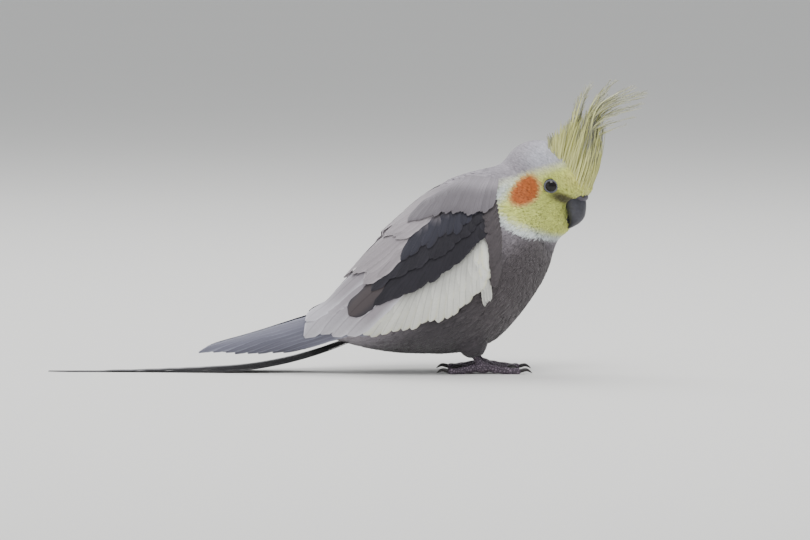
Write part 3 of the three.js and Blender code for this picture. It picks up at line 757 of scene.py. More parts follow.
@dataclass(frozen=True)
class Plumage:
    """Feathers coloured by their own attribute, with barbs either side of a shaft."""

    name: str
    roughness: float = 0.75
    sheen: float = 0.25
    barbs: float = 26.0
    shaft: float = 0.35
    mottle: float = 0.05

    def build(self) -> bpy.types.Material:
        """Makes the material.

        Returns:
            The material.
        """
        shader = Shader(self.name)
        colour = shader.add("ShaderNodeVertexColor", layer_name="Coat").outputs[0]
        uv = shader.add("ShaderNodeUVMap", uv_map="Vane").outputs[0]
        split = shader.add("ShaderNodeSeparateXYZ")
        shader.link(uv, split.inputs[0])
        off_shaft = shader.math("ABSOLUTE", shader.math("SUBTRACT", split.outputs[0], 0.5))
        slanted = shader.math(
            "SUBTRACT", split.outputs[1], shader.math("MULTIPLY", off_shaft, 0.55)
        )
        wave = shader.math("SINE", shader.math("MULTIPLY", slanted, self.barbs * 2 * math.pi))
        clumps = shader.noise(900.0)
        lines = shader.math("ADD", shader.math("MULTIPLY", wave, 0.6), clumps)
        near = shader.math("SUBTRACT", 1.0, shader.math("MULTIPLY", off_shaft, 22.0))
        near = shader.math("MAXIMUM", near, 0.0)
        line = shader.math("MULTIPLY", near, self.shaft)
        darker = shader.mix(line, colour, srgb(150, 146, 148), "MULTIPLY")
        share = shader.math("MULTIPLY", shader.math("SUBTRACT", clumps, 0.3), self.mottle * 2)
        mottled = shader.mix(share, darker, srgb(60, 56, 58))
        shader.link(mottled, shader.surface.inputs["Base Color"])
        shader.bump(lines, 0.00008, 0.5)
        shader.surface.inputs["Roughness"].default_value = self.roughness
        shader.surface.inputs["Sheen Weight"].default_value = self.sheen
        shader.surface.inputs["Sheen Roughness"].default_value = 0.5
        shader.surface.inputs["Specular IOR Level"].default_value = 0.25
        return shader.material


@dataclass(frozen=True)
class SkinFinish:
    """The skin under the coat, in the coat's own markings."""

    name: str = "skin_markings"

    def build(self) -> bpy.types.Material:
        """Makes the material.

        Returns:
            The material.
        """
        shader = Shader(self.name)
        colour = shader.add("ShaderNodeVertexColor", layer_name="Coat").outputs[0]
        fluff = shader.noise(700.0, 4.0)
        shader.link(
            shader.mix(shader.math("MULTIPLY", fluff, 0.5), colour, srgb(60, 55, 56)),
            shader.surface.inputs["Base Color"],
        )
        shader.bump(fluff, 0.0004, 0.8)
        shader.surface.inputs["Roughness"].default_value = 0.9
        return shader.material


@dataclass(frozen=True)
class Horn:
    """Bill, cere, claws and leg scales: two tones in fine noise, with a bump."""

    name: str
    dark: tuple
    light: tuple
    roughness: float
    scale: float
    depth: float
    cells: bool = False
    painted: bool = False

    def build(self) -> bpy.types.Material:
        """Makes the material.

        Returns:
            The material.
        """
        shader = Shader(self.name)
        tone = shader.noise(self.scale, 5.0)
        height = tone
        if self.cells:
            cells = shader.add("ShaderNodeTexVoronoi", feature="DISTANCE_TO_EDGE")
            cells.inputs["Scale"].default_value = self.scale * 1.3
            coordinates = shader.add("ShaderNodeTexCoord")
            shader.link(coordinates.outputs["Object"], cells.inputs["Vector"])
            edge = shader.math("MULTIPLY", cells.outputs["Distance"], 4.0)
            height = shader.math("MINIMUM", edge, 1.0)
            tone = shader.math("MULTIPLY", height, shader.math("ADD", tone, 0.35))
        colour = shader.mix(tone, srgb(*self.dark), srgb(*self.light))
        if self.painted:
            tint = shader.add("ShaderNodeVertexColor", layer_name="Coat").outputs[0]
            colour = shader.mix(1.0, colour, tint, "MULTIPLY")
        shader.link(colour, shader.surface.inputs["Base Color"])
        shader.bump(height, self.depth)
        shader.surface.inputs["Roughness"].default_value = self.roughness
        return shader.material


@dataclass(frozen=True)
class EyeGloss:
    """A wet dark eye: brown-black iris round a black pupil."""

    name: str = "eye_wet"

    def build(self) -> bpy.types.Material:
        """Makes the material.

        Returns:
            The material.
        """
        shader = Shader(self.name)
        rim = shader.add("ShaderNodeVertexColor", layer_name="Coat").outputs[0]
        speck = shader.noise(2500.0)
        colour = shader.mix(shader.math("MULTIPLY", speck, 0.4), rim, srgb(12, 9, 8))
        shader.link(colour, shader.surface.inputs["Base Color"])
        shader.surface.inputs["Roughness"].default_value = 0.06
        shader.surface.inputs["Coat Weight"].default_value = 0.1
        shader.surface.inputs["Specular IOR Level"].default_value = 0.3
        shader.surface.inputs["Coat Roughness"].default_value = 0.02
        return shader.material


class Markings:
    """The coat's colours as functions of place, shared by skin and feathers."""

    @staticmethod
    def above_bib(local: np.ndarray) -> np.ndarray:
        """How far points of the head's frame lie above the lower edge of the pale bib."""
        x = local[:, 0]
        return local[:, 2] + 17.6 + 0.36 * x - 0.01 * x * x

    @staticmethod
    def head(points: np.ndarray) -> np.ndarray:
        """Colours of the head and face, for points in the bird's frame.

        Args:
            points: places in the bird's frame, in millimetres.

        Returns:
            Linear colours.
        """
        local = SKULL.to_head(points)
        x, y, z = local[:, 0], np.abs(local[:, 1]), local[:, 2]
        colours = blend(Hue.NAPE, Hue.CROWN, smooth(x, -18, 0) * smooth(z, 6, 16))
        bib = Markings.above_bib(local)
        in_face = smooth(bib, -1, 1) * smooth(z - 10.6 - 0.88 * x, 2.5, -2.5)
        in_face = in_face * smooth(x, -17.5, -13.5)
        whitish = blend(Hue.BIB, Hue.FACE, smooth(x, -10, -3) * smooth(bib, 1, 6))
        whitish = blend(whitish, Hue.FOREHEAD, smooth(x, 8, 18) * smooth(z, 4, 14))
        whitish = blend(whitish, Hue.BROW, smooth(z - 10.6 - 0.88 * x, -7, -1) * 0.7)
        colours = blend(colours, whitish, in_face)
        from_cheek = np.hypot((x + 0.4) / 5.3, (z + 0.4) / 7.3)
        beside = smooth(y, 8, 12)
        colours = blend(colours, Hue.CHEEK_EDGE, smooth(from_cheek, 1.32, 0.98) * beside)
        colours = blend(colours, Hue.CHEEK, smooth(from_cheek, 1.12, 0.78) * beside)
        # Painted shade between eye and bill, where the face meets the bill.
        from_shade_spot = np.hypot((x - 15.4) / 6.8, (z - 1.9) / 3.2)
        return blend(colours, Hue.LORE_PAINTED_SHADE, smooth(from_shade_spot, 1.3, 0.4) * smooth(y, 2, 6) * 0.95)

    @staticmethod
    def body(points: np.ndarray) -> np.ndarray:
        """Colours of the trunk, for points in the bird's frame: the breast and belly are painted darker
        than the back, partly as their own grey and partly as painted shade.

        Args:
            points: places in the bird's frame, in millimetres.

        Returns:
            Linear colours.
        """
        along, above = TRUNK.along(points), TRUNK.above(points)
        share = smooth(above, -14, 14)
        colours = blend(Hue.BELLY_TONE_AND_SHADE, Hue.BREAST_TONE_AND_SHADE, smooth(along, -20, 20))
        # Lighter towards the back, darker on the breast and belly: partly the plumage's own tone, partly
        # painted shade.
        colours = blend(colours, Hue.BACK, share)
        return blend(colours, Hue.NAPE, smooth(along, 34, 52) * share)

    @classmethod
    def at(cls, points: np.ndarray) -> np.ndarray:
        """Colours anywhere on the bird.

        Args:
            points: places in the bird's frame, in millimetres.

        Returns:
            Linear colours.
        """
        local = SKULL.to_head(points)
        bib = smooth(cls.above_bib(local), -1, 1)
        near = smooth(np.linalg.norm(local, axis=1), 40, 34)
        upper = smooth(TRUNK.along(points), 44, 54)
        return blend(cls.body(points), cls.head(points), np.maximum(bib * near, upper))


@dataclass
class Skin:
    """The flesh and under-down as one closed surface, just inside the coat."""

    coat_depth: float = 0.9
    voxel: float = 0.95

    def __post_init__(self) -> None:
        """Builds, smooths, unwraps and paints the surface."""
        trunk = sculpted_sphere("trunk", 96, 72, TRUNK.surface)
        head = sculpted_sphere("head", 72, 56, self.head_point)
        thighs = [
            sculpted_sphere(f"thigh_{side.word}", 32, 24, self.thigh(side.value)) for side in Side
        ]
        self.piece = joined("skin", [trunk, head, *thighs])
        apply_modifier(self.piece, "REMESH", mode="VOXEL", voxel_size=self.voxel * MM)
        self.fill_neck()
        apply_modifier(self.piece, "SMOOTH", factor=0.5, iterations=14)
        normals = np.empty(len(self.piece.data.vertices) * 3, np.float32)
        self.piece.data.vertices.foreach_get("normal", normals)
        points = positions_of(self.piece) - normals.reshape(-1, 3) * self.coat_depth
        self.piece.data.vertices.foreach_set(
            "co", Place.metres(points).astype(np.float32).ravel()
        )
        self.piece.data.update()
        self.unwrap()
        bpy.ops.object.shade_smooth()
        paint(self.piece, Markings.at(points))
        self.read_triangles(points)

    @staticmethod
    def head_point(t: np.ndarray, turn: np.ndarray) -> np.ndarray:
        """The head's surface in the bird's frame."""
        rays = on_ball(t, turn)
        return SKULL.to_bird(rays * SKULL.reach(rays)[:, None])

    @staticmethod
    def thigh(side: int) -> Callable[[np.ndarray, np.ndarray], np.ndarray]:
        """Places for a feathered thigh.

        Args:
            side: the sign of Y.

        Returns:
            A function of t and turn.
        """

        def place(t: np.ndarray, turn: np.ndarray) -> np.ndarray:
            """The thigh's surface in the bird's frame.

            Args:
                t: shares of the way along, from 0 to 1.
                turn: turns round the form, in radians.

            Returns:
                Points.
            """
            tilt = np.pi * t
            x = -4 + 8 * np.sin(tilt) * np.cos(turn)
            y = side * 11.5 + 6 * np.sin(tilt) * np.sin(turn)
            return np.stack([x, y, 17 - 9.5 * np.cos(tilt)], axis=-1)

        return place

    def fill_neck(self) -> None:
        """Smooths away the crease where the head meets the body."""
        points = positions_of(self.piece)
        along = TRUNK.along(points)
        weights = smooth(along, 26, 44) * smooth(along, 66, 52)
        group = self.piece.vertex_groups.new(name="neck")
        for weight in np.linspace(0.1, 1, 10):
            chosen = np.nonzero((weights > weight - 0.1) & (weights <= weight))[0]
            group.add(chosen.tolist(), float(weight), "REPLACE")
        apply_modifier(self.piece, "SMOOTH", factor=0.5, iterations=90, vertex_group="neck")

    def unwrap(self) -> None:
        """Unwraps the skin's own shape into the map that the coat's tufts share."""
        self.piece.data.uv_layers.new(name="OFBake")
        bpy.ops.object.select_all(action="DESELECT")
        self.piece.select_set(True)
        bpy.context.view_layer.objects.active = self.piece
        bpy.ops.object.mode_set(mode="EDIT")
        bpy.ops.mesh.select_all(action="SELECT")
        bpy.ops.uv.smart_project(angle_limit=math.radians(66), island_margin=0.004)
        bpy.ops.object.mode_set(mode="OBJECT")

    def read_triangles(self, points: np.ndarray) -> None:
        """Keeps the skin's triangles, their unwrapped corners and a search tree.

        Args:
            points: the skin's vertices, in millimetres.
        """
        mesh = self.piece.data
        mesh.calc_loop_triangles()
        corners = np.empty(len(mesh.loop_triangles) * 3, np.int32)
        loops = corners.copy()
        mesh.loop_triangles.foreach_get("vertices", corners)
        mesh.loop_triangles.foreach_get("loops", loops)
        places = np.empty(len(mesh.loops) * 2, np.float32)
        mesh.uv_layers["OFBake"].data.foreach_get("uv", places)
        self.points = points
        self.corners = corners.reshape(-1, 3)
        self.places = places.reshape(-1, 2)[loops.reshape(-1, 3)]
        a, b, c = (points[self.corners[:, k]] for k in range(3))
        normals = np.cross(b - a, c - a)
        self.areas = np.linalg.norm(normals, axis=1) / 2
        self.normals = unit(normals)
        self.tree = BVHTree.FromPolygons(points.tolist(), self.corners.tolist())

    def sample(self, rng: np.random.Generator, count: int, weights: np.ndarray) -> tuple:
        """Random places on the skin.

        Args:
            rng: the seeded source of chance.
            count: how many.
            weights: how thickly to place on each triangle.

        Returns:
            Points, normals and unwrapped places.
        """
        chance = self.areas * weights
        picked = rng.choice(len(chance), count, p=chance / chance.sum())
        a, b = rng.random(count), rng.random(count)
        flip = a + b > 1
        a, b = np.where(flip, 1 - a, a), np.where(flip, 1 - b, b)
        shares = np.stack([1 - a - b, a, b], axis=-1)[..., None]
        points = (self.points[self.corners[picked]] * shares).sum(1)
        places = (self.places[picked] * shares).sum(1)
        return points, self.normals[picked], places

    def settle(self, points: np.ndarray) -> tuple:
        """The nearest places on the skin.

        Args:
            points: the points to move.

        Returns:
            Points, normals and unwrapped places.
        """
        found, normals, places = [], [], []
        for point in points:
            location, normal, index, _ = self.tree.find_nearest(Vector(point))
            found.append(location)
            normals.append(normal)
            places.append(self.places[index].mean(0))
        return np.array(found), np.array(normals), np.array(places)

    def centroids(self) -> np.ndarray:
        """The middle of each triangle."""
        return self.points[self.corners].mean(1)


@dataclass(frozen=True)
class Leaf:
    """The grid of one feather: stations along it and columns across it."""

    widths: Stations
    rows: int = 7
    columns: int = 5

    def along(self) -> np.ndarray:
        """Shares of the way along, closer together towards the tip."""
        return np.linspace(0, 1, self.rows) ** 0.85

    def across(self) -> np.ndarray:
        """Columns from one edge to the other."""
        return np.linspace(-1, 1, self.columns)

    def faces(self, count: int, both: bool) -> np.ndarray:
        """Corners of every face of many feathers, with an underside if both is set.

        Args:
            count: how many feathers.
            both: whether each gets an underside.

        Returns:
            Four corners for each face.
        """
        r, c = np.meshgrid(np.arange(self.rows - 1), np.arange(self.columns - 1), indexing="ij")
        first = (r * self.columns + c).ravel()
        quad = np.stack([first, first + 1, first + self.columns + 1, first + self.columns], -1)
        size = self.rows * self.columns
        if both:
            quad = np.concatenate([quad, quad[:, ::-1] + size])
            size *= 2
        return (np.arange(count)[:, None, None] * size + quad[None]).reshape(-1, 4)


BODY_LEAF = Leaf(Stations(((0, 0.5), (0.3, 0.95), (0.6, 1), (0.86, 0.66), (1, 0.1))), 5, 4)
FACE_LEAF = Leaf(Stations(((0, 0.4), (0.35, 0.9), (0.7, 1), (0.9, 0.7), (1, 0.15))), 4, 3)
ROUND_VANE = Leaf(
    Stations(((0, 0.35), (0.18, 0.78), (0.5, 1), (0.8, 0.93), (0.94, 0.6), (1, 0.12))), 16, 9
)
LONG_VANE = Leaf(
    Stations(((0, 0.3), (0.15, 0.8), (0.4, 1), (0.7, 0.85), (0.92, 0.5), (1, 0.08))), 30, 9
)


@dataclass
class Feathers:
    """Collects feathers as arrays and makes one joined piece of them."""

    name: str
    leaf: Leaf
    both: bool
    patch: float = 0.003
    thickness: float = 0.09
    points: list = field(default_factory=list)
    colours: list = field(default_factory=list)
    roots: list = field(default_factory=list)

    def add(self, points: np.ndarray, colours: np.ndarray, roots: np.ndarray) -> None:
        """Adds feathers.

        Args:
            points: (n, rows, columns, 3) in the bird's frame.
            colours: the same shape.
            roots: (n, 2) places on the skin's unwrap.
        """
        self.points.append(points)
        self.colours.append(colours)
        self.roots.append(roots)

    def build(self, material: bpy.types.Material, slot: str) -> bpy.types.Object:
        """Makes the piece and lets it ride.

        Args:
            material: what the pieces are made of.
            slot: the material slot's name; not used.

        Returns:
            The object.
        """
        points = np.concatenate(self.points)
        colours = np.concatenate(self.colours)
        roots = np.concatenate(self.roots)
        count, rows, columns, _ = points.shape
        t, u = np.meshgrid(self.leaf.along(), self.leaf.across(), indexing="ij")
        grid = np.stack([(u + 1) / 2, t], axis=-1)
        places = np.broadcast_to(grid, (count, rows, columns, 2))
        if self.both:
            under = points.copy()
            ahead = np.gradient(points, axis=1)
            across = np.gradient(points, axis=2)
            down = unit(np.cross(ahead, across))
            inner = np.zeros((1, rows, columns, 1))
            inner[:, 1:-1, 1:-1] = self.thickness
            under += down * inner
            points = np.stack([points, under], axis=1)
            # Painted shade: the underside copy is painted 15% darker than the top.
            colours = np.stack([colours, colours * 0.85], axis=1)
            places = np.stack([places, places], axis=1)
        bake = (places - 0.5) * self.patch + roots.reshape((count,) + (1,) * (places.ndim - 2) + (2,))
        faces = self.leaf.faces(count, self.both)
        piece = mesh_object(self.name, points.reshape(-1, 3), faces)
        paint(piece, colours.reshape(-1, 3))
        map_vertices(piece, "OFBake", bake.reshape(-1, 2))
        map_vertices(piece, "Vane", places.reshape(-1, 2))
        piece.data.materials.append(material)
        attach(piece, "root")
        LOG.info("%s: %d feathers, %d triangles", self.name, count, 2 * len(faces))
        return piece


@dataclass(frozen=True)
class CoatZone:
    """How the coat lies on one part of the skin."""

    name: str
    slot: str
    count: int
    length: float
    half: float
    lift: float
    leaf: Leaf
    jitter: float = 0.12
    parts: int = 1


@dataclass
class Coat:
    """The contour feathers, laid over the skin along the flow of the plumage."""

    skin: Skin
    rng: np.random.Generator
    head: CoatZone = CoatZone("coat_head", "head_plumage", 24000, 3.6, 0.42, 0.75, FACE_LEAF, 0.16, 2)
    neck: CoatZone = CoatZone("coat_neck", "body_plumage", 12000, 6.2, 0.85, 0.9, BODY_LEAF, parts=2)
    body: CoatZone = CoatZone("coat_body", "body_plumage", 8500, 8.5, 1.3, 1.0, BODY_LEAF, parts=2)
    thigh: CoatZone = CoatZone("coat_thigh", "body_plumage", 1600, 6, 0.8, 0.8, BODY_LEAF)

    def flow(self, points: np.ndarray, normals: np.ndarray) -> np.ndarray:
        """The lie of the coat: back from the bill over the head, then towards the tail.

        Args:
            points: places on the skin.
            normals: the skin's normals at the points.

        Returns:
            Unit vectors along the skin.
        """
        bill = SKULL.to_bird(np.array([24.0, 0, 2.0]))
        from_bill = unit(points - bill)
        rearwards = np.array([-math.cos(TRUNK.pitch), 0, -math.sin(TRUNK.pitch)])
        share = smooth(TRUNK.along(points), 62, 34)[:, None]
        flow = from_bill * (1 - share) + rearwards * share
        lower = smooth(points[:, 2], 26, 12)[:, None] * share
        flow = flow + lower * np.array([-0.5, 0, 0.1])
        flow -= (flow * normals).sum(-1, keepdims=True) * normals
        return unit(flow)

    def weights(self) -> dict:
        """How thickly each zone's feathers grow on each triangle.

        Returns:
            A weight for each triangle, by zone.
        """
        middle = self.skin.centroids()
        local = SKULL.to_head(middle)
        along = TRUNK.along(middle)
        head = smooth(along, 46, 50)
        mirrored = local * np.array([1, 0, 1])
        mirrored[:, 1] = np.abs(local[:, 1])
        offset = mirrored - np.array(EYE_CENTRE)
        off_axis = np.linalg.norm(offset - (offset @ EYE_AXIS)[:, None] * EYE_AXIS, axis=1)
        clear = (off_axis > 3.5) | (mirrored[:, 1] < 6)
        bill = np.linalg.norm((local - np.array([20.5, 0, 0])) / np.array([6, 5.5, 8]), axis=1) > 1
        low = middle[:, 2] < 15
        thigh = smooth(np.abs(middle[:, 1] - np.sign(middle[:, 1]) * 11.5), 8, 6) * low
        under_wing = (np.abs(middle[:, 1]) > 13) & (middle[:, 0] < -4) & (middle[:, 0] > -60)
        under_wing &= middle[:, 2] > 30
        body = (1 - head) * np.where(under_wing, 0.15, 1)
        neck = smooth(along, 16, 26)
        return {
            self.head: head * clear * bill,
            self.neck: body * neck,
            self.body: body * (1 - neck) * (1 - thigh),
            self.thigh: thigh,
        }

    def lay(self, zone: CoatZone, weights: np.ndarray, name: str, count: int) -> Feathers:
        """Lays one zone's feathers.

        Args:
            zone: the part of the coat.
            weights: how thickly it grows on each triangle.
            name: the piece's name.
            count: how many feathers.

        Returns:
            The feathers, not yet a piece.
        """
        roots, normals, places = self.skin.sample(self.rng, count, weights)
        flow = self.flow(roots, normals)
        size = 1 + 0.18 * self.rng.standard_normal(count)
        length = np.clip(size, 0.6, 1.5) * zone.length
        if zone is self.head:
            length *= 0.62 + 0.5 * smooth(SKULL.to_head(roots)[:, 0], 14, -12)
        aside = np.cross(normals, flow)
        flow = unit(flow + aside * (self.rng.standard_normal(count) * zone.jitter)[:, None])
        middles, middle_normals, _ = self.skin.settle(roots + flow * (length / 2)[:, None])
        tips, tip_normals, _ = self.skin.settle(middles + (middles - roots))
        t = zone.leaf.along()[None, :, None]
        u = zone.leaf.across()[None, None, :, None]
        a, b, c = (1 - t) * (1 - 2 * t), 4 * t * (1 - t), t * (2 * t - 1)

        def through(one: np.ndarray, two: np.ndarray, three: np.ndarray) -> np.ndarray:
            """A smooth run through three values of each feather."""
            return one[:, None] * a + two[:, None] * b + three[:, None] * c

        path = through(roots, middles, tips)
        up = unit(through(normals, middle_normals, tip_normals))
        ahead = unit(np.gradient(path, axis=1))
        side = np.cross(up, ahead)
        half = zone.leaf.widths.at(t[0, :, 0])[:, 1]
        half = half[None, :, None] * (zone.half * length / zone.length)[:, None, None]
        lift = zone.lift * (0.75 + 0.5 * self.rng.random(count))
        lift = -0.35 + (lift + 0.35)[:, None, None] * np.sqrt(t)
        fray = self.rng.standard_normal((count, 1, u.shape[2])) * (length * 0.07)[:, None, None]
        last = np.zeros((1, path.shape[1], 1))
        last[:, -1] = 1
        camber = (1 - u**2) * 0.16 * zone.half
        points = path[:, :, None] + side[:, :, None] * (u * half[..., None])
        points = points + up[:, :, None] * (lift[..., None] + camber)
        points = points + ahead[:, :, None] * (fray * last)[..., None]
        colours = Markings.at(middles)
        colours = colours * (1 + 0.09 * self.rng.standard_normal(count))[:, None]
        # Painted shade: each feather is darker towards its root, where the feathers above cover it, and
        # lighter at its tip.
        painted_root_shade = (0.86 + 0.2 * t)[..., None] * (1 + 0 * u)
        batch = Feathers(name, zone.leaf, False)
        batch.add(points, np.clip(colours[:, None, None] * painted_root_shade, 0, 1), places)
        return batch

    def build(self, material: bpy.types.Material) -> None:
        """Makes all zones' pieces.

        Args:
            material: what the pieces are made of.
        """
        for zone, weights in self.weights().items():
            for part in range(1, zone.parts + 1):
                name = f"{zone.name}_{part}" if zone.parts > 1 else zone.name
                self.lay(zone, weights, name, zone.count // zone.parts).build(material, zone.slot)


@dataclass(frozen=True)
class Tier:
    """A row of vanes on the folded wing, from the front and lower one to the rear and upper one."""

    name: str
    count: int
    roots: tuple
    tips: tuple
    half: float
    lift: float
    colour: np.ndarray
    edge: np.ndarray
    leaf: Leaf = ROUND_VANE
    bow: float = 0.6
    tilt: float = 0.45
    root_colour: np.ndarray | None = None
    tip_colour: np.ndarray | None = None
    spread: float = 0.045


@dataclass
class Wing:
    """One folded wing: tiers of vanes laid on the bed."""

    side: Side
    bed: Bed
    skin: Skin
    rng: np.random.Generator
    tiers: tuple = (
        Tier(
            "primaries", 8, ((-50, 27), (-58, 34)), ((-98, 11), (-120, 10), (-139, 10.5)),
            3.4, 0.5, Hue.SLATE, Hue.SLATE_EDGE, LONG_VANE, 1.5, 0.3, spread=0.012,
        ),
        Tier(
            "secondaries", 7, ((-30, 36), (-46, 44)), ((-60, 21.5), (-84, 22)),
            4.2, 1.0, Hue.SLATE, Hue.SLATE_EDGE, ROUND_VANE, 0.8,
        ),
        Tier(
            "greater_coverts", 19, ((3, 72), (-2, 64), (-14, 56), (-28, 47), (-38, 42)),
            ((3.5, 52), (-3, 40), (-17, 29), (-36, 24), (-58, 21)),
            3.9, 1.5, Hue.PATCH, Hue.PATCH_CREAM, ROUND_VANE, 0.6, 0.28, Hue.PATCH_ROOT,
        ),
        Tier(
            "tertials", 5, ((-36, 47), (-37, 60), (-34, 70)), ((-64, 22.5), (-78, 22), (-87, 24.5)),
            5.8, 1.8, Hue.TERTIAL, Hue.TERTIAL_EDGE, ROUND_VANE, 0.8, 0.3,
            tip_colour=Hue.TERTIAL_EDGE,
        ),
        Tier(
            "umber", 1, ((-38, 54), (-38, 54)), ((-65.5, 28.5), (-65.5, 28.5)),
            5.2, 2.1, Hue.UMBER, Hue.CHARCOAL_EDGE, ROUND_VANE, 0.5, 0.1,
        ),
        Tier(
            "median_coverts", 17, ((2, 86), (-4, 78), (-15, 69), (-27, 60)),
            ((2.5, 72), (-9, 60), (-21, 50), (-35, 42), (-51, 36.5)),
            3.7, 1.9, Hue.CHARCOAL, Hue.CHARCOAL_EDGE, ROUND_VANE, 0.5, 0.22,
        ),
        Tier(
            "lesser_coverts", 16, ((0, 90), (-9, 85), (-24, 74)),
            ((2, 79), (-10, 66), (-26, 56), (-51, 44)),
            3.5, 2.2, Hue.CHARCOAL, Hue.CHARCOAL_EDGE, ROUND_VANE, 0.5, 0.2, Hue.BACK * 0.55,
        ),
        Tier(
            "scapulars", 13, ((-27, 73), (-19, 84), (-10, 92)), ((-52, 46), (-58, 49), (-62, 50)),
            3.6, 2.4, Hue.PALE, Hue.PALE_EDGE, ROUND_VANE, 0.7, 0.25, Hue.PALE * 0.7,
        ),
        Tier(
            "marginal_coverts", 14, ((-2, 93), (-8, 91), (-20, 84)),
            ((1.5, 85), (-9, 73), (-38, 57)),
            3.0, 2.5, Hue.SHOULDER, Hue.CHARCOAL_EDGE, ROUND_VANE, 0.5, 0.2, Hue.PALE * 0.8,
        ),
        Tier(
            "upper_scapulars", 12, ((-17, 84), (-11, 91), (-5, 95)), ((-39, 66), (-45, 67), (-50, 67)),
            3.3, 2.8, Hue.PALE, Hue.PALE_EDGE, ROUND_VANE, 0.6, 0.22, Hue.BACK * 0.8,
        ),
        Tier(
            "alula", 3, ((2, 52), (0, 50)), ((4, 38), (1.5, 35)),
            1.3, 1.9, Hue.PATCH_ROOT, Hue.PATCH, ROUND_VANE, 0.4, 0.15,
        ),
        # The breast fringe takes the breast colour, with its painted shade.
        Tier(
            "breast_tone_and_shade_fringe", 18, ((7.5, 89), (10, 71), (9.5, 54)), ((1, 80), (4, 62), (5.5, 46)),
            1.9, 2.3, Hue.BREAST_TONE_AND_SHADE * 1.15, Hue.BREAST_TONE_AND_SHADE * 1.3, ROUND_VANE, 0.5, 0.2,
        ),
        Tier(
            "mantle_fringe", 22, ((-16, 93), (-5, 98), (8, 97)), ((-34, 74), (-15, 80), (3.5, 81)),
            2.6, 3.3, Hue.BACK * 0.5, Hue.BACK * 0.62, ROUND_VANE, 0.5, 0.2, Hue.BACK * 0.8,
        ),
    )

    def row_of(self, corners: tuple, shares: np.ndarray) -> np.ndarray:
        """Side-view points spread along a bent row, in the chart.

        Args:
            corners: the bends of the row, in the side view.
            shares: how far along the row each point lies.

        Returns:
            An (x, chart height) for each share.
        """
        corners = np.array(corners, float)
        keys = np.linspace(0, 1, len(corners))
        x = np.interp(shares, keys, corners[:, 0])
        z = np.interp(shares, keys, corners[:, 1])
        return np.stack([x, self.bed.unroll(x, z)], axis=-1)

    def lay(self, tier: Tier) -> tuple:
        """Points, colours and root points of a tier's vanes.

        Args:
            tier: the row of vanes.

        Returns:
            Points, colours and root points.
        """
        shares = np.linspace(0, 1, tier.count)
        roots = self.row_of(tier.roots, shares)
        tips = self.row_of(tier.tips, shares)
        tips = tips + (tips - roots) * self.rng.normal(0, tier.spread, (tier.count, 1))
        t = tier.leaf.along()[None, :, None]
        u = tier.leaf.across()[None, None, :]
        way = (tips - roots)[:, None, None]
        path = roots[:, None, None] + way * t[..., None]
        aside = unit(np.stack([-way[..., 1], way[..., 0]], axis=-1))
        aside = aside * np.where(aside[..., 1:2] < 0, -1, 1)
        half = tier.leaf.widths.at(tier.leaf.along())[:, 1][None, :, None] * tier.half
        ragged = self.rng.normal(0, 0.045, (tier.count, t.shape[1], u.shape[2]))
        notch = 1 + ragged * (np.abs(u) > 0.9) * (t > 0.15)
        across = (u * half * notch + tier.bow * np.sin(np.pi * t))[..., None] * aside
        chart = path + across
        lift = tier.lift * (0.35 + 0.65 * smooth(t, 0, 0.55)) + 0.35 * smooth(t, 0.6, 1)
        lift = lift - tier.tilt * u + 0.3 * (1 - u**2)
        lift = lift + 0 * chart[..., 0]
        points = self.bed.lifted(chart[..., 0], chart[..., 1], lift)
        points = points * np.array([1, self.side.value, 1])
        if self.side is Side.RIGHT:
            points = points[:, :, ::-1]
        base = np.broadcast_to(tier.colour, points.shape)
        rim = smooth(np.abs(u) + 0 * t, 0.55, 1)
        colours = blend(base, tier.edge, rim + 0 * chart[..., 0])
        if tier.root_colour is not None:
            colours = blend(tier.root_colour + 0 * colours, colours, smooth(t, 0.2, 0.6) + 0 * u)
        if tier.tip_colour is not None:
            colours = blend(colours, tier.tip_colour, smooth(t, 0.55, 1) * 0.6 + 0 * u)
        tone = 1 + 0.075 * self.rng.standard_normal((tier.count, 1, 1, 1))
        return points, np.clip(colours * tone, 0, 1), points[:, 0, tier.leaf.columns // 2]

    def build(self, material: bpy.types.Material) -> None:
        """Makes the wing's two pieces, rounded vanes and long ones.

        Args:
            material: what the pieces are made of.
        """
        replaced = f"wing_{self.side.word}"
        for leaf, word in ((ROUND_VANE, "coverts"), (LONG_VANE, "primaries")):
            batch = Feathers(f"{replaced}_{word}", leaf, True)
            for tier in self.tiers:
                if tier.leaf is leaf:
                    points, colours, roots = self.lay(tier)
                    batch.add(points, colours, self.skin.settle(roots)[2])
            piece = batch.build(material, "wing_plumage")
            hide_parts(replaced)


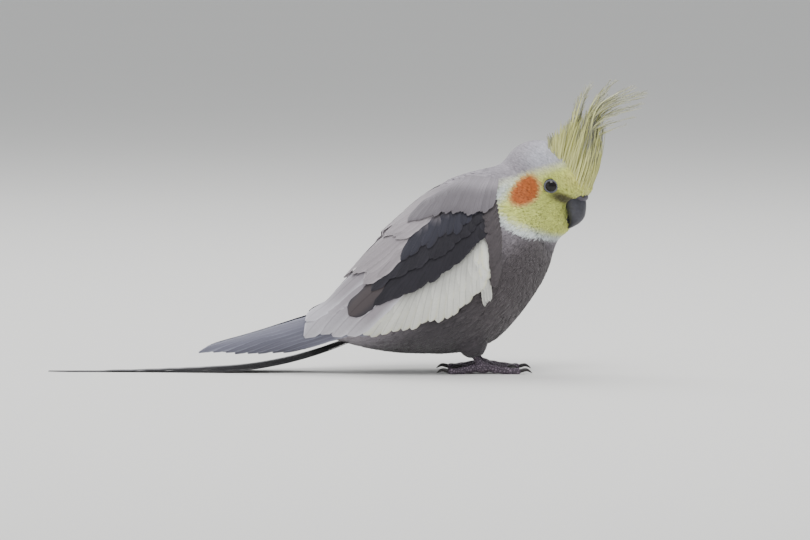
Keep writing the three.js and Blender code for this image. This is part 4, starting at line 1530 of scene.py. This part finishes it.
@dataclass
class Tail:
    """Twelve long feathers that come down to the ground, under rows of coverts."""

    skin: Skin
    rng: np.random.Generator
    root_x: float = -66.0
    root_z: float = 14.5
    grounded_x: float = -137.0
    lengths: tuple = (69, 79, 90, 102, 118, 150)
    cover_rows: tuple = ((-60, 30, 5.6, 5.5), (-54, 26, 6.6, 6.5), (-47, 24, 7.4, 8))
    cover_count: int = 6

    def height(self, x: np.ndarray) -> np.ndarray:
        """Height of the tail's underside."""
        left = np.clip((x - self.grounded_x) / (self.root_x - self.grounded_x), 0, 1.2)
        return self.root_z * left * left

    def layers(self, x: np.ndarray, k: int) -> np.ndarray:
        """How many shorter feathers still lie under the k-th one, falling softly at each end."""
        ends = self.root_x - np.array(self.lengths[:k], float)
        return smooth(x[..., None] - ends, -6, 2).sum(-1) if k else 0 * x

    def vanes(
        self, roots: np.ndarray, tips: np.ndarray, half: float, lift: np.ndarray, leaf: Leaf
    ) -> np.ndarray:
        """Vanes laid in plan view over the tail's slope.

        Args:
            roots: where each vane starts, as (x, y).
            tips: where each vane ends, as (x, y).
            half: half the vanes' greatest width.
            lift: how far each point is raised.
            leaf: the grid of one vane.

        Returns:
            Points of every vane.
        """
        t = leaf.along()[None, :, None]
        u = leaf.across()[None, None, :]
        path = roots[:, None, None] + (tips - roots)[:, None, None] * t[..., None]
        width = leaf.widths.at(leaf.along())[:, 1][None, :, None] * half
        x = path[..., 0] + 0 * u
        y = path[..., 1] + u * width
        camber = 0.25 * (1 - u**2)
        z = self.height(x) + lift[:, None, None] + camber
        return np.stack([x, y, z], axis=-1)

    def build(self, material: bpy.types.Material) -> None:
        """Makes the tail feathers and the coverts over their roots.

        Args:
            material: what the pieces are made of.
        """
        leaf = LONG_VANE
        batch = Feathers("tail_feathers", leaf, True)
        t = leaf.along()[None, :, None]
        u = leaf.across()[None, None, :]
        for side in Side:
            for k, length in enumerate(self.lengths):
                outer = len(self.lengths) - 1 - k
                root = np.array([[-64.0, side.value * (2.4 + 0.5 * outer)]])
                tip = np.array([[self.root_x - length, side.value * (1.7 + 1.15 * outer)]])
                half = 2.6 if outer == 0 else 3.1
                points = self.vanes(root, tip, half, np.array([0.2]), leaf)
                points[..., 2] += 0.45 * self.layers(points[..., 0], k)
                inner = smooth(-side.value * u + 0 * t, -0.1, 0.5) if outer == 0 else 0 * u * t
                silver = inner * smooth(t, 0.95, 0.4) * 0.85
                colours = blend(np.broadcast_to(Hue.TAIL, points.shape), Hue.SILVER, silver)
                batch.add(points, colours, self.skin.settle(points[:, 0, 4])[2])
        tail = batch.build(material, "tail_plumage")
        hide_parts("tail")
        cover = Feathers("tail_coverts", ROUND_VANE, True)
        for row, (x, length, lift, spread) in enumerate(self.cover_rows):
            y = np.linspace(-spread, spread, self.cover_count)
            roots = np.stack([x + 0.0 * y, y * 0.8], axis=-1)
            tips = np.stack([x - length + np.abs(y) * 0.8, y * 0.75], axis=-1)
            points = self.vanes(roots, tips, 2.6, lift - 0.18 * y * y / spread, ROUND_VANE)
            colours = np.broadcast_to(Hue.BACK * (0.95 - 0.06 * row), points.shape)
            cover.add(points, colours, self.skin.settle(points[:, 0, 4])[2])
        cover.build(material, "tail_plumage")


@dataclass
class Crest:
    """The raised crest: long narrow feathers that curve up and forwards, with loose barbs."""

    skin: Skin
    rng: np.random.Generator
    row: tuple = (
        ((20.5, 8), (17.8, 28), (14.6, 48.5), (35.5, 67)),
        ((17, 11), (14.6, 33), (13.2, 50.5), (25.5, 67)),
        ((13, 14), (11.3, 36), (10.8, 52), (17, 67)),
        ((8, 16), (6.6, 39), (6.2, 50), (9.5, 62)),
        ((5, 17), (2.8, 36), (0.8, 47.5), (0.4, 59)),
        ((2, 18), (0.8, 31), (-0.4, 37), (-1, 43)),
        ((-1, 18.5), (-2, 27), (-3, 31.5), (-4.2, 36)),
    )
    tips: tuple = (0.1, 1.0, 2.2, 4.0)
    leaf: Leaf = Leaf(Stations(((0, 0.8), (0.3, 1), (0.6, 0.7), (0.85, 0.32), (1, 0.08))), 22, 5)
    strand: Leaf = Leaf(Stations(((0, 1), (0.5, 0.8), (1, 0.15))), 7, 3)
    longest: int = 10
    feather_count: int = 48
    feather_half: float = 0.52
    root_spread: float = 4.2
    strand_count: int = 900
    strand_half: float = 0.12
    fluff_count: int = 760
    fluff_half: float = 0.34

    def paths(self, count: int, spread: float) -> np.ndarray:
        """Four guiding points of each feather, in the head's frame.

        Args:
            count: how many feathers.
            spread: half the width of the row of roots.

        Returns:
            Four points for each feather.
        """
        table = np.array(self.row, float)
        last = len(table) - 1
        gathered = (self.rng.random(count) < 0.5) | (np.arange(count) < self.longest)
        near_tip = np.resize(self.tips, count) + self.rng.normal(0, 0.2, count)
        place = np.where(gathered, near_tip, self.rng.random(count) * last)
        place = np.clip(place, 0, last)
        i = np.minimum(place.astype(int), len(table) - 2)
        share = (place - i)[:, None, None]
        points = table[i] * (1 - share) + table[i + 1] * share
        beside = self.rng.uniform(-1, 1, count)
        shortened = np.arange(count) >= self.longest
        shorter = 1 - (0.1 * np.abs(beside) + 0.14 * self.rng.random(count)) * shortened
        shorter = np.where(gathered, shorter, shorter - 0.12)
        points[:, 1:] = points[:, :1] + (points[:, 1:] - points[:, :1]) * shorter[:, None, None]
        y = beside[:, None] * spread * (1 - np.arange(4) / 9)
        return np.stack([points[..., 0], y, points[..., 1]], axis=-1)

    def curve(self, guides: np.ndarray, t: np.ndarray) -> np.ndarray:
        """Points along smooth curves through the guides.

        Args:
            guides: four points of each feather, in the head's frame.
            t: shares of the way along, for each feather.

        Returns:
            Points in the head's frame.
        """
        keys = np.arange(4.0)
        tangents = np.gradient(guides, axis=1)
        at = np.clip(t * 3, 0, 2.9999)
        i = at.astype(int)
        f = (at - keys[i])[..., None]
        n = np.arange(len(guides))[:, None]
        p0, p1 = guides[n, i], guides[n, i + 1]
        m0, m1 = tangents[n, i], tangents[n, i + 1]
        f2, f3 = f * f, f * f * f
        return (
            (2 * f3 - 3 * f2 + 1) * p0
            + (f3 - 2 * f2 + f) * m0
            + (3 * f2 - 2 * f3) * p1
            + (f3 - f2) * m1
        )

    def blades(self, path: np.ndarray, half: float, leaf: Leaf, twist: np.ndarray) -> np.ndarray:
        """Flat blades along paths in the head's frame.

        Args:
            path: points along each feather, in the head's frame.
            half: half the vanes' greatest width.
            leaf: the grid of one vane.
            twist: how far each blade turns about its own line.

        Returns:
            Points in the head's frame.
        """
        ahead = unit(np.gradient(path, axis=1))
        fore = unit(np.stack([ahead[..., 2], 0 * ahead[..., 1], -ahead[..., 0]], axis=-1))
        level = np.cross(ahead, fore)
        side = fore * np.cos(twist)[:, None, None] + level * np.sin(twist)[:, None, None]
        up = np.cross(side, ahead)
        u = leaf.across()[None, None, :, None]
        width = leaf.widths.at(leaf.along())[:, 1][None, :, None, None] * half
        return path[:, :, None] + side[:, :, None] * (u * width) + up[:, :, None] * (0.2 * (1 - u**2))

    def colours(self, shape: tuple, t: np.ndarray) -> np.ndarray:
        """Yellow at the roots, grey-cream at the tips.

        Args:
            shape: the shape of the colours.
            t: how far along each point lies.

        Returns:
            Linear colours.
        """
        grey = (self.rng.random((shape[0], 1, 1)) < 0.3) * smooth(t, 0.15, 0.4)
        base = blend(np.broadcast_to(Hue.CREST, shape), Hue.CREST_GREY, grey)
        tone = 1 + 0.08 * self.rng.standard_normal((shape[0], 1, 1, 1))
        return np.clip(blend(base, Hue.CREST_TIP, smooth(t, 0.45, 1)) * tone, 0, 1)

    def fluff(self, material: bpy.types.Material) -> None:
        """Short soft feathers over the forehead and round the foot of the crest.

        Args:
            material: what the pieces are made of.
        """
        count = self.fluff_count
        leaf = self.strand
        x = self.rng.uniform(-4, 23, count)
        y = np.clip(self.rng.normal(0, 3.4, count), -7.5, 7.5)
        rise = Stations(((-7, 20), (6, 18.5), (14, 14), (20, 9), (23, 4)))
        rays = unit(np.stack([x, y, rise.at(x)[..., 1]], axis=-1))
        roots = rays * (SKULL.reach(rays) - 1)[:, None]
        lengths = Stations(((-7, 3), (0, 9), (7, 24), (14, 30), (20, 29), (23, 20)))
        length = lengths.at(roots[:, 0])[..., 1] * self.rng.uniform(0.45, 1, count)
        lean = Stations(((-7, -1.1), (0, -0.5), (8, -0.12), (16, 0.0), (23, 0.06)))
        start = np.stack([lean.at(roots[:, 0])[..., 1], roots[:, 1] * 0.02, 1 + 0 * x], axis=-1)
        start += self.rng.normal(0, 0.05, start.shape)
        bend = np.stack([-0.18 * smooth(roots[:, 0], 6, 20), -roots[:, 1] * 0.03, 0 * x], axis=-1)
        t = np.broadcast_to(leaf.along(), (count, leaf.rows))[..., None]
        path = roots[:, None] + (start[:, None] * t + bend[:, None] * t * t) * length[:, None, None]
        twist = self.rng.uniform(-0.6, 0.6, count)
        points = SKULL.to_bird(self.blades(path, self.fluff_half, leaf, twist))
        batch = Feathers("crest_fluff", leaf, False)
        shares = t * 0.6 * smooth(length, 8, 26)[:, None, None] + 0 * leaf.across()
        crown = smooth(roots[:, 0], 2, -6)[:, None, None]
        colours = blend(self.colours(points.shape, shares), Hue.CREST_GREY * 1.2, crown + 0 * shares)
        batch.add(points, colours, self.skin.settle(points[:, 0, 1])[2])
        batch.build(material, "head_plumage")

    def build(self, material: bpy.types.Material) -> None:
        """Makes the feathers and the loose strands beside them.

        Args:
            material: what the pieces are made of.
        """
        self.fluff(material)
        count = self.feather_count
        guides = self.paths(count, self.root_spread)
        t = np.broadcast_to(self.leaf.along(), (count, self.leaf.rows))
        twist = self.rng.normal(0, 0.5, count)
        points = SKULL.to_bird(self.blades(self.curve(guides, t), self.feather_half, self.leaf, twist))
        batch = Feathers("crest_feathers", self.leaf, True)
        shares = t[..., None] + 0 * self.leaf.across()
        batch.add(points, self.colours(points.shape, shares), self.skin.settle(points[:, 0, 2])[2])
        batch.build(material, "head_plumage")
        strands = self.strand_count
        owners = self.rng.integers(0, count, strands)
        start = self.rng.uniform(0.12, 0.93, strands)
        reach = self.rng.uniform(0.1, 0.2, strands)
        s = self.strand.along()[None, :]
        path = self.curve(guides[owners], np.clip(start[:, None] + reach[:, None] * s, 0, 1))
        away = unit(self.rng.standard_normal((strands, 3)) * np.array([1, 0.8, 0.4]))
        path = path + away[:, None] * (1.5 * s**1.4)[..., None]
        twist = self.rng.uniform(0, 3, strands)
        points = SKULL.to_bird(self.blades(path, self.strand_half, self.strand, twist))
        barbs = Feathers("crest_barbs", self.strand, False)
        shares = (start[:, None] + 0 * s)[..., None] + 0 * self.strand.across()
        barbs.add(points, self.colours(points.shape, shares), self.skin.settle(points[:, 0, 1])[2])
        barbs.build(material, "head_plumage")


@dataclass
class Eyes:
    """Dark wet eyes in bare grey lids."""

    radius: float = 3.95
    pupil: float = 2.0
    lid_ring: float = 3.12
    lid_half: float = 0.5
    lid_out: float = 2.62

    @staticmethod
    def frame(side: Side) -> tuple:
        """One eye's centre and its three axes, in the head's frame.

        Args:
            side: which side of the bird.

        Returns:
            The centre, the axis that looks out, and the axes across and up.
        """
        mirror = np.array([1, side.value, 1])
        axis = EYE_AXIS * mirror
        across = unit(np.cross(axis, np.array([0, 0, 1.0])))
        return np.array(EYE_CENTRE) * mirror, axis, across, np.cross(across, axis)

    def ball(self, side: Side) -> bpy.types.Object:
        """One eyeball, its pole on the eye's axis.

        Args:
            side: which side of the bird.

        Returns:
            The painted object.
        """
        centre, axis, across, up = self.frame(side)

        def place(t: np.ndarray, turn: np.ndarray) -> np.ndarray:
            """The eyeball's surface, with a low bulge over the pupil.

            Args:
                t: shares of the way along, from 0 to 1.
                turn: turns round the form, in radians.

            Returns:
                Points.
            """
            tilt = np.pi * t
            bulge = self.radius * (1 + 0.05 * smooth(t, 0.7, 1.0))
            out = -np.cos(tilt)[:, None] * axis
            ring = np.sin(tilt)[:, None] * (
                np.cos(turn)[:, None] * across + np.sin(turn)[:, None] * up
            )
            return SKULL.to_bird(centre + bulge[:, None] * (out + ring))

        piece = sculpted_sphere(f"eye_{side.word}_ball", 40, 32, place)
        local = SKULL.to_head(positions_of(piece)) - centre
        off_axis = np.linalg.norm(np.cross(local, axis), axis=1)
        brown = smooth(off_axis, self.pupil, self.pupil * 1.15)
        paint(piece, blend(np.broadcast_to(srgb(8, 6, 6), local.shape), srgb(30, 20, 16), brown))
        return piece

    def lid(self, side: Side) -> bpy.types.Object:
        """The wrinkled bare ring round one eye.

        Args:
            side: which side of the bird.

        Returns:
            The object.
        """
        centre, axis, across, up = self.frame(side)
        centre = centre + axis * self.lid_out
        bpy.ops.object.select_all(action="DESELECT")
        bpy.ops.mesh.primitive_torus_add(
            major_radius=self.lid_ring, minor_radius=self.lid_half,
            major_segments=72, minor_segments=16,
        )
        piece = bpy.context.object
        piece.name = f"eye_{side.word}_lid"
        flat = np.empty(len(piece.data.vertices) * 3, np.float32)
        piece.data.vertices.foreach_get("co", flat)
        flat = flat.reshape(-1, 3).astype(float)
        turn = np.arctan2(flat[:, 1], flat[:, 0])
        wrinkle = 1 + 0.012 * np.sin(23 * turn) + 0.01 * np.sin(11 * turn + 1)
        flat[:, :2] *= wrinkle[:, None] * np.array([1, 0.93])
        local = centre + flat[:, :1] * across + flat[:, 1:2] * up + flat[:, 2:] * axis
        placed = Place.metres(SKULL.to_bird(local))
        piece.data.vertices.foreach_set("co", placed.astype(np.float32).ravel())
        piece.data.update()
        face_outwards()
        return piece

    def build(self, gloss: bpy.types.Material, lid: bpy.types.Material) -> None:
        """Makes both eyes.

        Args:
            gloss: the eyeballs' material.
            lid: the lids' material.
        """
        for side in Side:
            ball, ring = self.ball(side), self.lid(side)
            ball.data.materials.append(gloss)
            ring.data.materials.append(lid)
            for piece, slot in ((ball, "eye_gloss"), (ring, "cere_skin")):
                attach(piece, "root")
                LOG.info("%s: %d faces", piece.name, len(piece.data.polygons))
            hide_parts(f"eye_{side.word}")


@dataclass
class Bill:
    """The hooked upper bill, the small lower one and the cere with its nostrils."""

    upper_rows: Stations = Stations(
        (
            (0, 20.4, 6, 11, 6, 4.6),
            (0.17, 22.9, 2.6, 12.5, 0.5, 5.4),
            (0.34, 24.5, -1.6, 14.5, -3.2, 5.2),
            (0.5, 25, -5, 17, -6.4, 4.3),
            (0.67, 23.8, -8.3, 18.6, -9.1, 3),
            (0.84, 21.6, -11.2, 19, -11.5, 1.6),
            (1, 19.4, -13.6, 18.7, -13.6, 0.5),
        )
    )

    def upper_point(self, t: np.ndarray, turn: np.ndarray) -> np.ndarray:
        """The upper bill's surface, with a low ridge down its front.

        Args:
            t: shares of the way along, from 0 to 1.
            turn: turns round the form, in radians.

        Returns:
            Points in the bird's frame.
        """
        _, fx, fz, bx, bz, half = np.moveaxis(self.upper_rows.at(t), -1, 0)
        closed = np.minimum(1, np.minimum(t, 1 - t) * 12 + 0.02) ** 0.5
        closed = np.where((t < 0.001) | (t > 0.999), 0, closed)
        reach_x, reach_z = (fx - bx) / 2, (fz - bz) / 2
        ridge = 1 + 0.03 * np.maximum(np.cos(turn), 0) ** 12
        x = (fx + bx) / 2 + reach_x * np.cos(turn) * closed * ridge
        z = (fz + bz) / 2 + reach_z * np.cos(turn) * closed * ridge
        return SKULL.to_bird(np.stack([x, np.sin(turn) * half * closed, z], axis=-1))

    @staticmethod
    def lump(centre: tuple, radii: tuple) -> Callable[[np.ndarray, np.ndarray], np.ndarray]:
        """Places for a rounded form in the head's frame.

        Args:
            centre: the form's middle, in the head's frame.
            radii: its three half widths.

        Returns:
            A function of t and turn.
        """

        def place(t: np.ndarray, turn: np.ndarray) -> np.ndarray:
            """The form's surface in the bird's frame."""
            return SKULL.to_bird(np.array(centre) + on_ball(t, turn) * np.array(radii))

        return place

    def cere_point(self, t: np.ndarray, turn: np.ndarray) -> np.ndarray:
        """The cere's surface, sunk at the two nostrils.

        Args:
            t: shares of the way along, from 0 to 1.
            turn: turns round the form, in radians.

        Returns:
            Points in the bird's frame.
        """
        base = SKULL.to_head(self.lump((19.3, 0, 4.7), (4.0, 4.6, 2.9))(t, turn))
        mirrored = base * np.array([1, 0, 1])
        mirrored[:, 1] = np.abs(base[:, 1])
        from_nostril = (mirrored - np.array([22.6, 2.5, 5.9])) / np.array([1.4, 1.0, 0.9])
        near = smooth(np.linalg.norm(from_nostril, axis=1), 1.2, 0.3)
        inward = np.array([18.5, 0, 4.5]) - base
        return SKULL.to_bird(base + inward * (near * 0.35)[:, None])

    def build(self, horn: bpy.types.Material, skin: bpy.types.Material) -> None:
        """Makes the three pieces.

        Args:
            horn: the material of the horny pieces.
            skin: the material of the bare skin.
        """
        upper = sculpted_sphere("bill_top", 48, 56, self.upper_point)
        lower = sculpted_sphere(
            "bill_bottom", 36, 28, self.lump((14.5, 0, -9.5), (4.6, 4.2, 3.4))
        )
        cere = sculpted_sphere("cere_swelling", 64, 48, self.cere_point)
        for piece, node, finish, slot in (
            (upper, "bill_upper", horn, "bill_horn"),
            (lower, "bill_lower", horn, "bill_horn"),
            (cere, "cere", skin, "cere_skin"),
        ):
            local = SKULL.to_head(positions_of(piece))
            tip = smooth(local[:, 2], -5, -13)
            paint(piece, blend(np.ones_like(local) * 1.15, np.full(3, 0.45), tip))
            piece.data.materials.append(finish)
            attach(piece, "root")
            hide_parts(node)
            LOG.info("%s: %d faces", piece.name, len(piece.data.polygons))


@dataclass(frozen=True)
class Toe:
    """A toe of the left foot: its end from the foot's middle, its bend and its radii."""

    name: str
    end: tuple
    bend: float
    radii: tuple


@dataclass
class Feet:
    """Scaly feet with two toes forwards and two back, and their claws."""

    spread: float = 11.5
    foot_x: float = 1.0
    palm_height: float = 3.4
    claw_length: float = 5.5
    ground_gap: float = 0.02
    toes: tuple = (
        Toe("front_outer", (19.5, 3), 1.2, (2, 1.65)),
        Toe("front_inner", (13.5, -4), -0.8, (1.85, 1.6)),
        Toe("back_outer", (-17.5, 3.5), 1, (1.95, 1.6)),
        Toe("back_inner", (-10.5, -4), -0.8, (1.8, 1.55)),
    )

    def toe_curve(self, toe: Toe, side: int, t: np.ndarray) -> np.ndarray:
        """Points along a toe's middle line.

        Args:
            toe: the toe.
            side: the sign of Y.
            t: shares of the way along, from 0 to 1.

        Returns:
            Points in the bird's frame.
        """
        keys = np.array([0, 1 / 3, 2 / 3, 1])
        shares = np.array([0, 0.35, 0.7, 1])
        bows = np.array([0, 0.8, 0.9, 0]) * toe.bend
        heights = np.array([self.palm_height, 2.4, 1.4, 1.25])
        rows = np.stack([keys, shares, bows, heights], axis=-1)
        _, share, bow, height = np.moveaxis(Stations(tuple(map(tuple, rows))).at(t), -1, 0)
        x = self.foot_x + toe.end[0] * share
        y = side * (self.spread + toe.end[1] * share + bow)
        return np.stack([x, y, height], axis=-1)

    def tube(
        self, curve: Callable[[np.ndarray], np.ndarray], radius: Callable[[np.ndarray], np.ndarray]
    ) -> Callable[[np.ndarray, np.ndarray], np.ndarray]:
        """Places for a round-ended limb along a curve, flattened where it meets the ground.

        Args:
            curve: points of the limb's middle line, from shares of its length.
            radius: the limb's radius, from shares of its length.

        Returns:
            A function of t and turn.
        """

        def place(t: np.ndarray, turn: np.ndarray) -> np.ndarray:
            """The limb's surface in the bird's frame.

            Args:
                t: shares of the way along, from 0 to 1.
                turn: turns round the form, in radians.

            Returns:
                Points.
            """
            centre = curve(t)
            ahead = unit(curve(np.minimum(t + 0.02, 1)) - curve(np.maximum(t - 0.02, 0)))
            across = unit(np.cross(np.array([0, 0, 1.0]) + 0 * ahead, ahead))
            up = np.cross(ahead, across)
            size = (radius(t) * np.sqrt(np.clip(np.minimum(t, 1 - t) * 14, 0, 1)))[:, None]
            ring = np.cos(turn)[:, None] * across + np.sin(turn)[:, None] * up
            points = centre + ring * size
            points[:, 2] = np.maximum(points[:, 2], self.ground_gap)
            return points

        return place

    def claw(self, toe: Toe, side: int) -> Callable[[np.ndarray, np.ndarray], np.ndarray]:
        """Places for a curved claw.

        Args:
            toe: the toe.
            side: the sign of Y.

        Returns:
            A function of t and turn.
        """
        end = self.toe_curve(toe, side, np.array([0.94, 1.0]))
        ahead = end[1] - end[0]
        ahead[2] = 0
        ahead = unit(ahead)
        guides = np.array([end[1] - 0.8 * ahead, end[1] + 2.5 * ahead, end[1] + self.claw_length * ahead])
        guides[:, 2] = (1.5, 2.15, 0.5)
        rows = tuple((k / 2, *guide) for k, guide in enumerate(guides))
        radii = Stations(((0, 1.0), (0.5, 0.82), (1, 0.12)))
        return self.tube(lambda t: Stations(rows).at(t)[..., 1:], lambda t: radii.at(t)[..., 1])

    def foot(self, side: Side) -> bpy.types.Object:
        """One foot and shank, joined smoothly.

        Args:
            side: which side of the bird.

        Returns:
            The object.
        """
        parts = []
        for toe in self.toes:
            radii = Stations(((0, toe.radii[0]), (1, toe.radii[1])))

            def radius(t: np.ndarray, radii: Stations = radii) -> np.ndarray:
                """The toe's radius, swollen at each pad."""
                swell = 1 + 0.07 * np.cos(2 * np.pi * 3.5 * t)
                return radii.at(t)[..., 1] * swell

            def curve(t: np.ndarray, toe: Toe = toe) -> np.ndarray:
                """The toe's middle line."""
                return self.toe_curve(toe, side.value, t)

            parts.append(sculpted_sphere("toe", 24, 60, self.tube(curve, radius)))
        y = side.value * self.spread
        shank = Stations(((0, -7, y, 15), (0.5, -2.5, y, 8.5), (1, 1, y, 3.4)))
        girth = Stations(((0, 1.8), (0.5, 1.6), (1, 2.3)))
        parts.append(
            sculpted_sphere(
                "shank", 24, 40,
                self.tube(lambda t: shank.at(t)[..., 1:], lambda t: girth.at(t)[..., 1]),
            )
        )

        def palm(t: np.ndarray, turn: np.ndarray) -> np.ndarray:
            """The palm's surface, flattened where it meets the ground.

            Args:
                t: shares of the way along, from 0 to 1.
                turn: turns round the form, in radians.

            Returns:
                Points.
            """
            points = np.array([1.3, y, 3.1]) + on_ball(t, turn) * np.array([4.4, 3.7, 2.9])
            points[:, 2] = np.maximum(points[:, 2], self.ground_gap)
            return points

        parts.append(sculpted_sphere("palm", 32, 24, palm))
        foot = joined(f"foot_{side.word}_scaled", parts)
        apply_modifier(foot, "REMESH", mode="VOXEL", voxel_size=0.35 * MM)
        apply_modifier(foot, "SMOOTH", factor=0.5, iterations=4)
        bpy.ops.object.shade_smooth()
        return foot

    def build(self, skin: bpy.types.Material, horn: bpy.types.Material) -> None:
        """Makes both feet and all claws.

        Args:
            skin: the material of the bare skin.
            horn: the material of the horny pieces.
        """
        for side in Side:
            foot = self.foot(side)
            foot.data.materials.append(skin)
            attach(foot, "root")
            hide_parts(f"foot_{side.word}")
            LOG.info("%s: %d faces", foot.name, len(foot.data.polygons))
            for toe in self.toes:
                name = f"claw_{toe.name}_{side.word}"
                claw = sculpted_sphere(f"{name}_horn", 20, 28, self.claw(toe, side.value))
                claw.data.materials.append(horn)
                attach(claw, "root")
                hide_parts(name)
                LOG.info("%s: %d faces", claw.name, len(claw.data.polygons))


@dataclass(frozen=True)
class Lamp:
    """A soft area light, in metres and watts."""

    name: str
    spot: tuple
    aim: tuple
    size: float
    power: float

    def build(self) -> None:
        """Adds the light, turned towards its aim."""
        data = bpy.data.lights.new(self.name, "AREA")
        data.size = self.size
        data.energy = self.power
        lamp = bpy.data.objects.new(self.name, data)
        lamp.location = self.spot
        lamp.rotation_mode = "QUATERNION"
        lamp.rotation_quaternion = (Vector(self.aim) - Vector(self.spot)).to_track_quat("-Z", "Y")
        bpy.context.collection.objects.link(lamp)


@dataclass(frozen=True)
class Studio:
    """Floor, light and camera."""

    view_centre: tuple = (-37.5, 0.0, 51.0)
    view_width: float = 405.0
    distance: float = 3000.0
    elevation: float = math.radians(4)
    floor_size: float = 40.0
    sky: tuple = (0.86, 0.88, 0.9, 1)
    sky_strength: float = 0.76
    lamps: tuple = (
        Lamp("key", (0.25, -0.55, 1.7), (0, 0, 0.05), 0.9, 24),
        Lamp("top", (-0.3, 0.8, 1.6), (0, 0, 0.05), 1.2, 23),
        Lamp("fill", (-1.6, -1.2, 0.7), (0, 0, 0.06), 1.6, 5),
    )

    def floor(self) -> None:
        """A plain pale level floor."""
        bpy.ops.object.select_all(action="DESELECT")
        bpy.ops.mesh.primitive_plane_add(size=self.floor_size)
        floor = bpy.context.object
        floor.name = "studio_floor"
        shader = Shader("floor_paper")
        tone = shader.noise(3.0)
        share = shader.math("MULTIPLY", tone, 0.15)
        colour = shader.mix(share, srgb(226, 225, 222), srgb(214, 213, 210))
        shader.link(colour, shader.surface.inputs["Base Color"])
        shader.surface.inputs["Roughness"].default_value = 0.9
        floor.data.materials.append(shader.material)

    def build(self) -> None:
        """Makes floor, lights, world and camera."""
        self.floor()
        for lamp in self.lamps:
            lamp.build()
        world = bpy.data.worlds.new("studio_world")
        world.use_nodes = True
        background = world.node_tree.nodes["Background"]
        background.inputs["Color"].default_value = self.sky
        background.inputs["Strength"].default_value = self.sky_strength
        bpy.context.scene.world = world
        data = bpy.data.cameras.new("camera")
        data.sensor_width = 36
        data.lens = 36 * self.distance / self.view_width
        data.clip_start = 0.1
        data.clip_end = 50
        camera = bpy.data.objects.new("camera", data)
        aim = Vector(Place.metres(np.array(self.view_centre)))
        back = Vector((0, -math.cos(self.elevation), math.sin(self.elevation)))
        camera.location = aim + back * (self.distance * MM)
        camera.rotation_mode = "QUATERNION"
        camera.rotation_quaternion = (-back).to_track_quat("-Z", "Y")
        bpy.context.collection.objects.link(camera)
        bpy.context.scene.camera = camera


def main() -> None:
    """Builds the scene in order, from the frame to the camera."""
    logging.basicConfig(level=logging.INFO, format="%(message)s")
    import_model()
    Place.find()
    rng = np.random.default_rng(SEED)
    plumage = Plumage("plumage_soft").build()
    vanes = Plumage("plumage_vanes", 0.6, 0.15, 34.0, 0.38, 0.1).build()
    wisps = Plumage("plumage_crest", 0.7, 0.2, 30.0, 0.06, 0.03).build()
    skin = Skin()
    skin.piece.data.materials.append(SkinFinish().build())
    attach(skin.piece, "root")
    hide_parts("torso", "neck", "head", "thigh_right", "thigh_left")
    LOG.info("skin: %d faces", len(skin.piece.data.polygons))
    Coat(skin, rng).build(plumage)
    bed = Bed()
    for side in Side:
        Wing(side, bed, skin, rng).build(vanes)
    Tail(skin, rng).build(vanes)
    Crest(skin, rng).build(wisps)
    bare = Horn("bare_skin", (70, 71, 80), (112, 115, 125), 0.55, 700, 0.0002)
    Eyes().build(EyeGloss().build(), bare.build())
    cere = Horn("cere_skin_fine", (58, 54, 64), (92, 87, 99), 0.5, 900, 0.0002)
    bill = Horn("bill_grey", (24, 24, 30), (70, 70, 80), 0.38, 420, 0.0001, painted=True)
    Bill().build(bill.build(), cere.build())
    scales = Horn("leg_scales", (54, 46, 56), (126, 112, 126), 0.6, 620, 0.0004, cells=True)
    claws = Horn("claw_black", (22, 19, 20), (52, 46, 48), 0.35, 500, 0.0001)
    Feet().build(scales.build(), claws.build())
    Studio().build()
    LOG.info("bird and studio are in place")


if __name__ == "__main__":
    main()
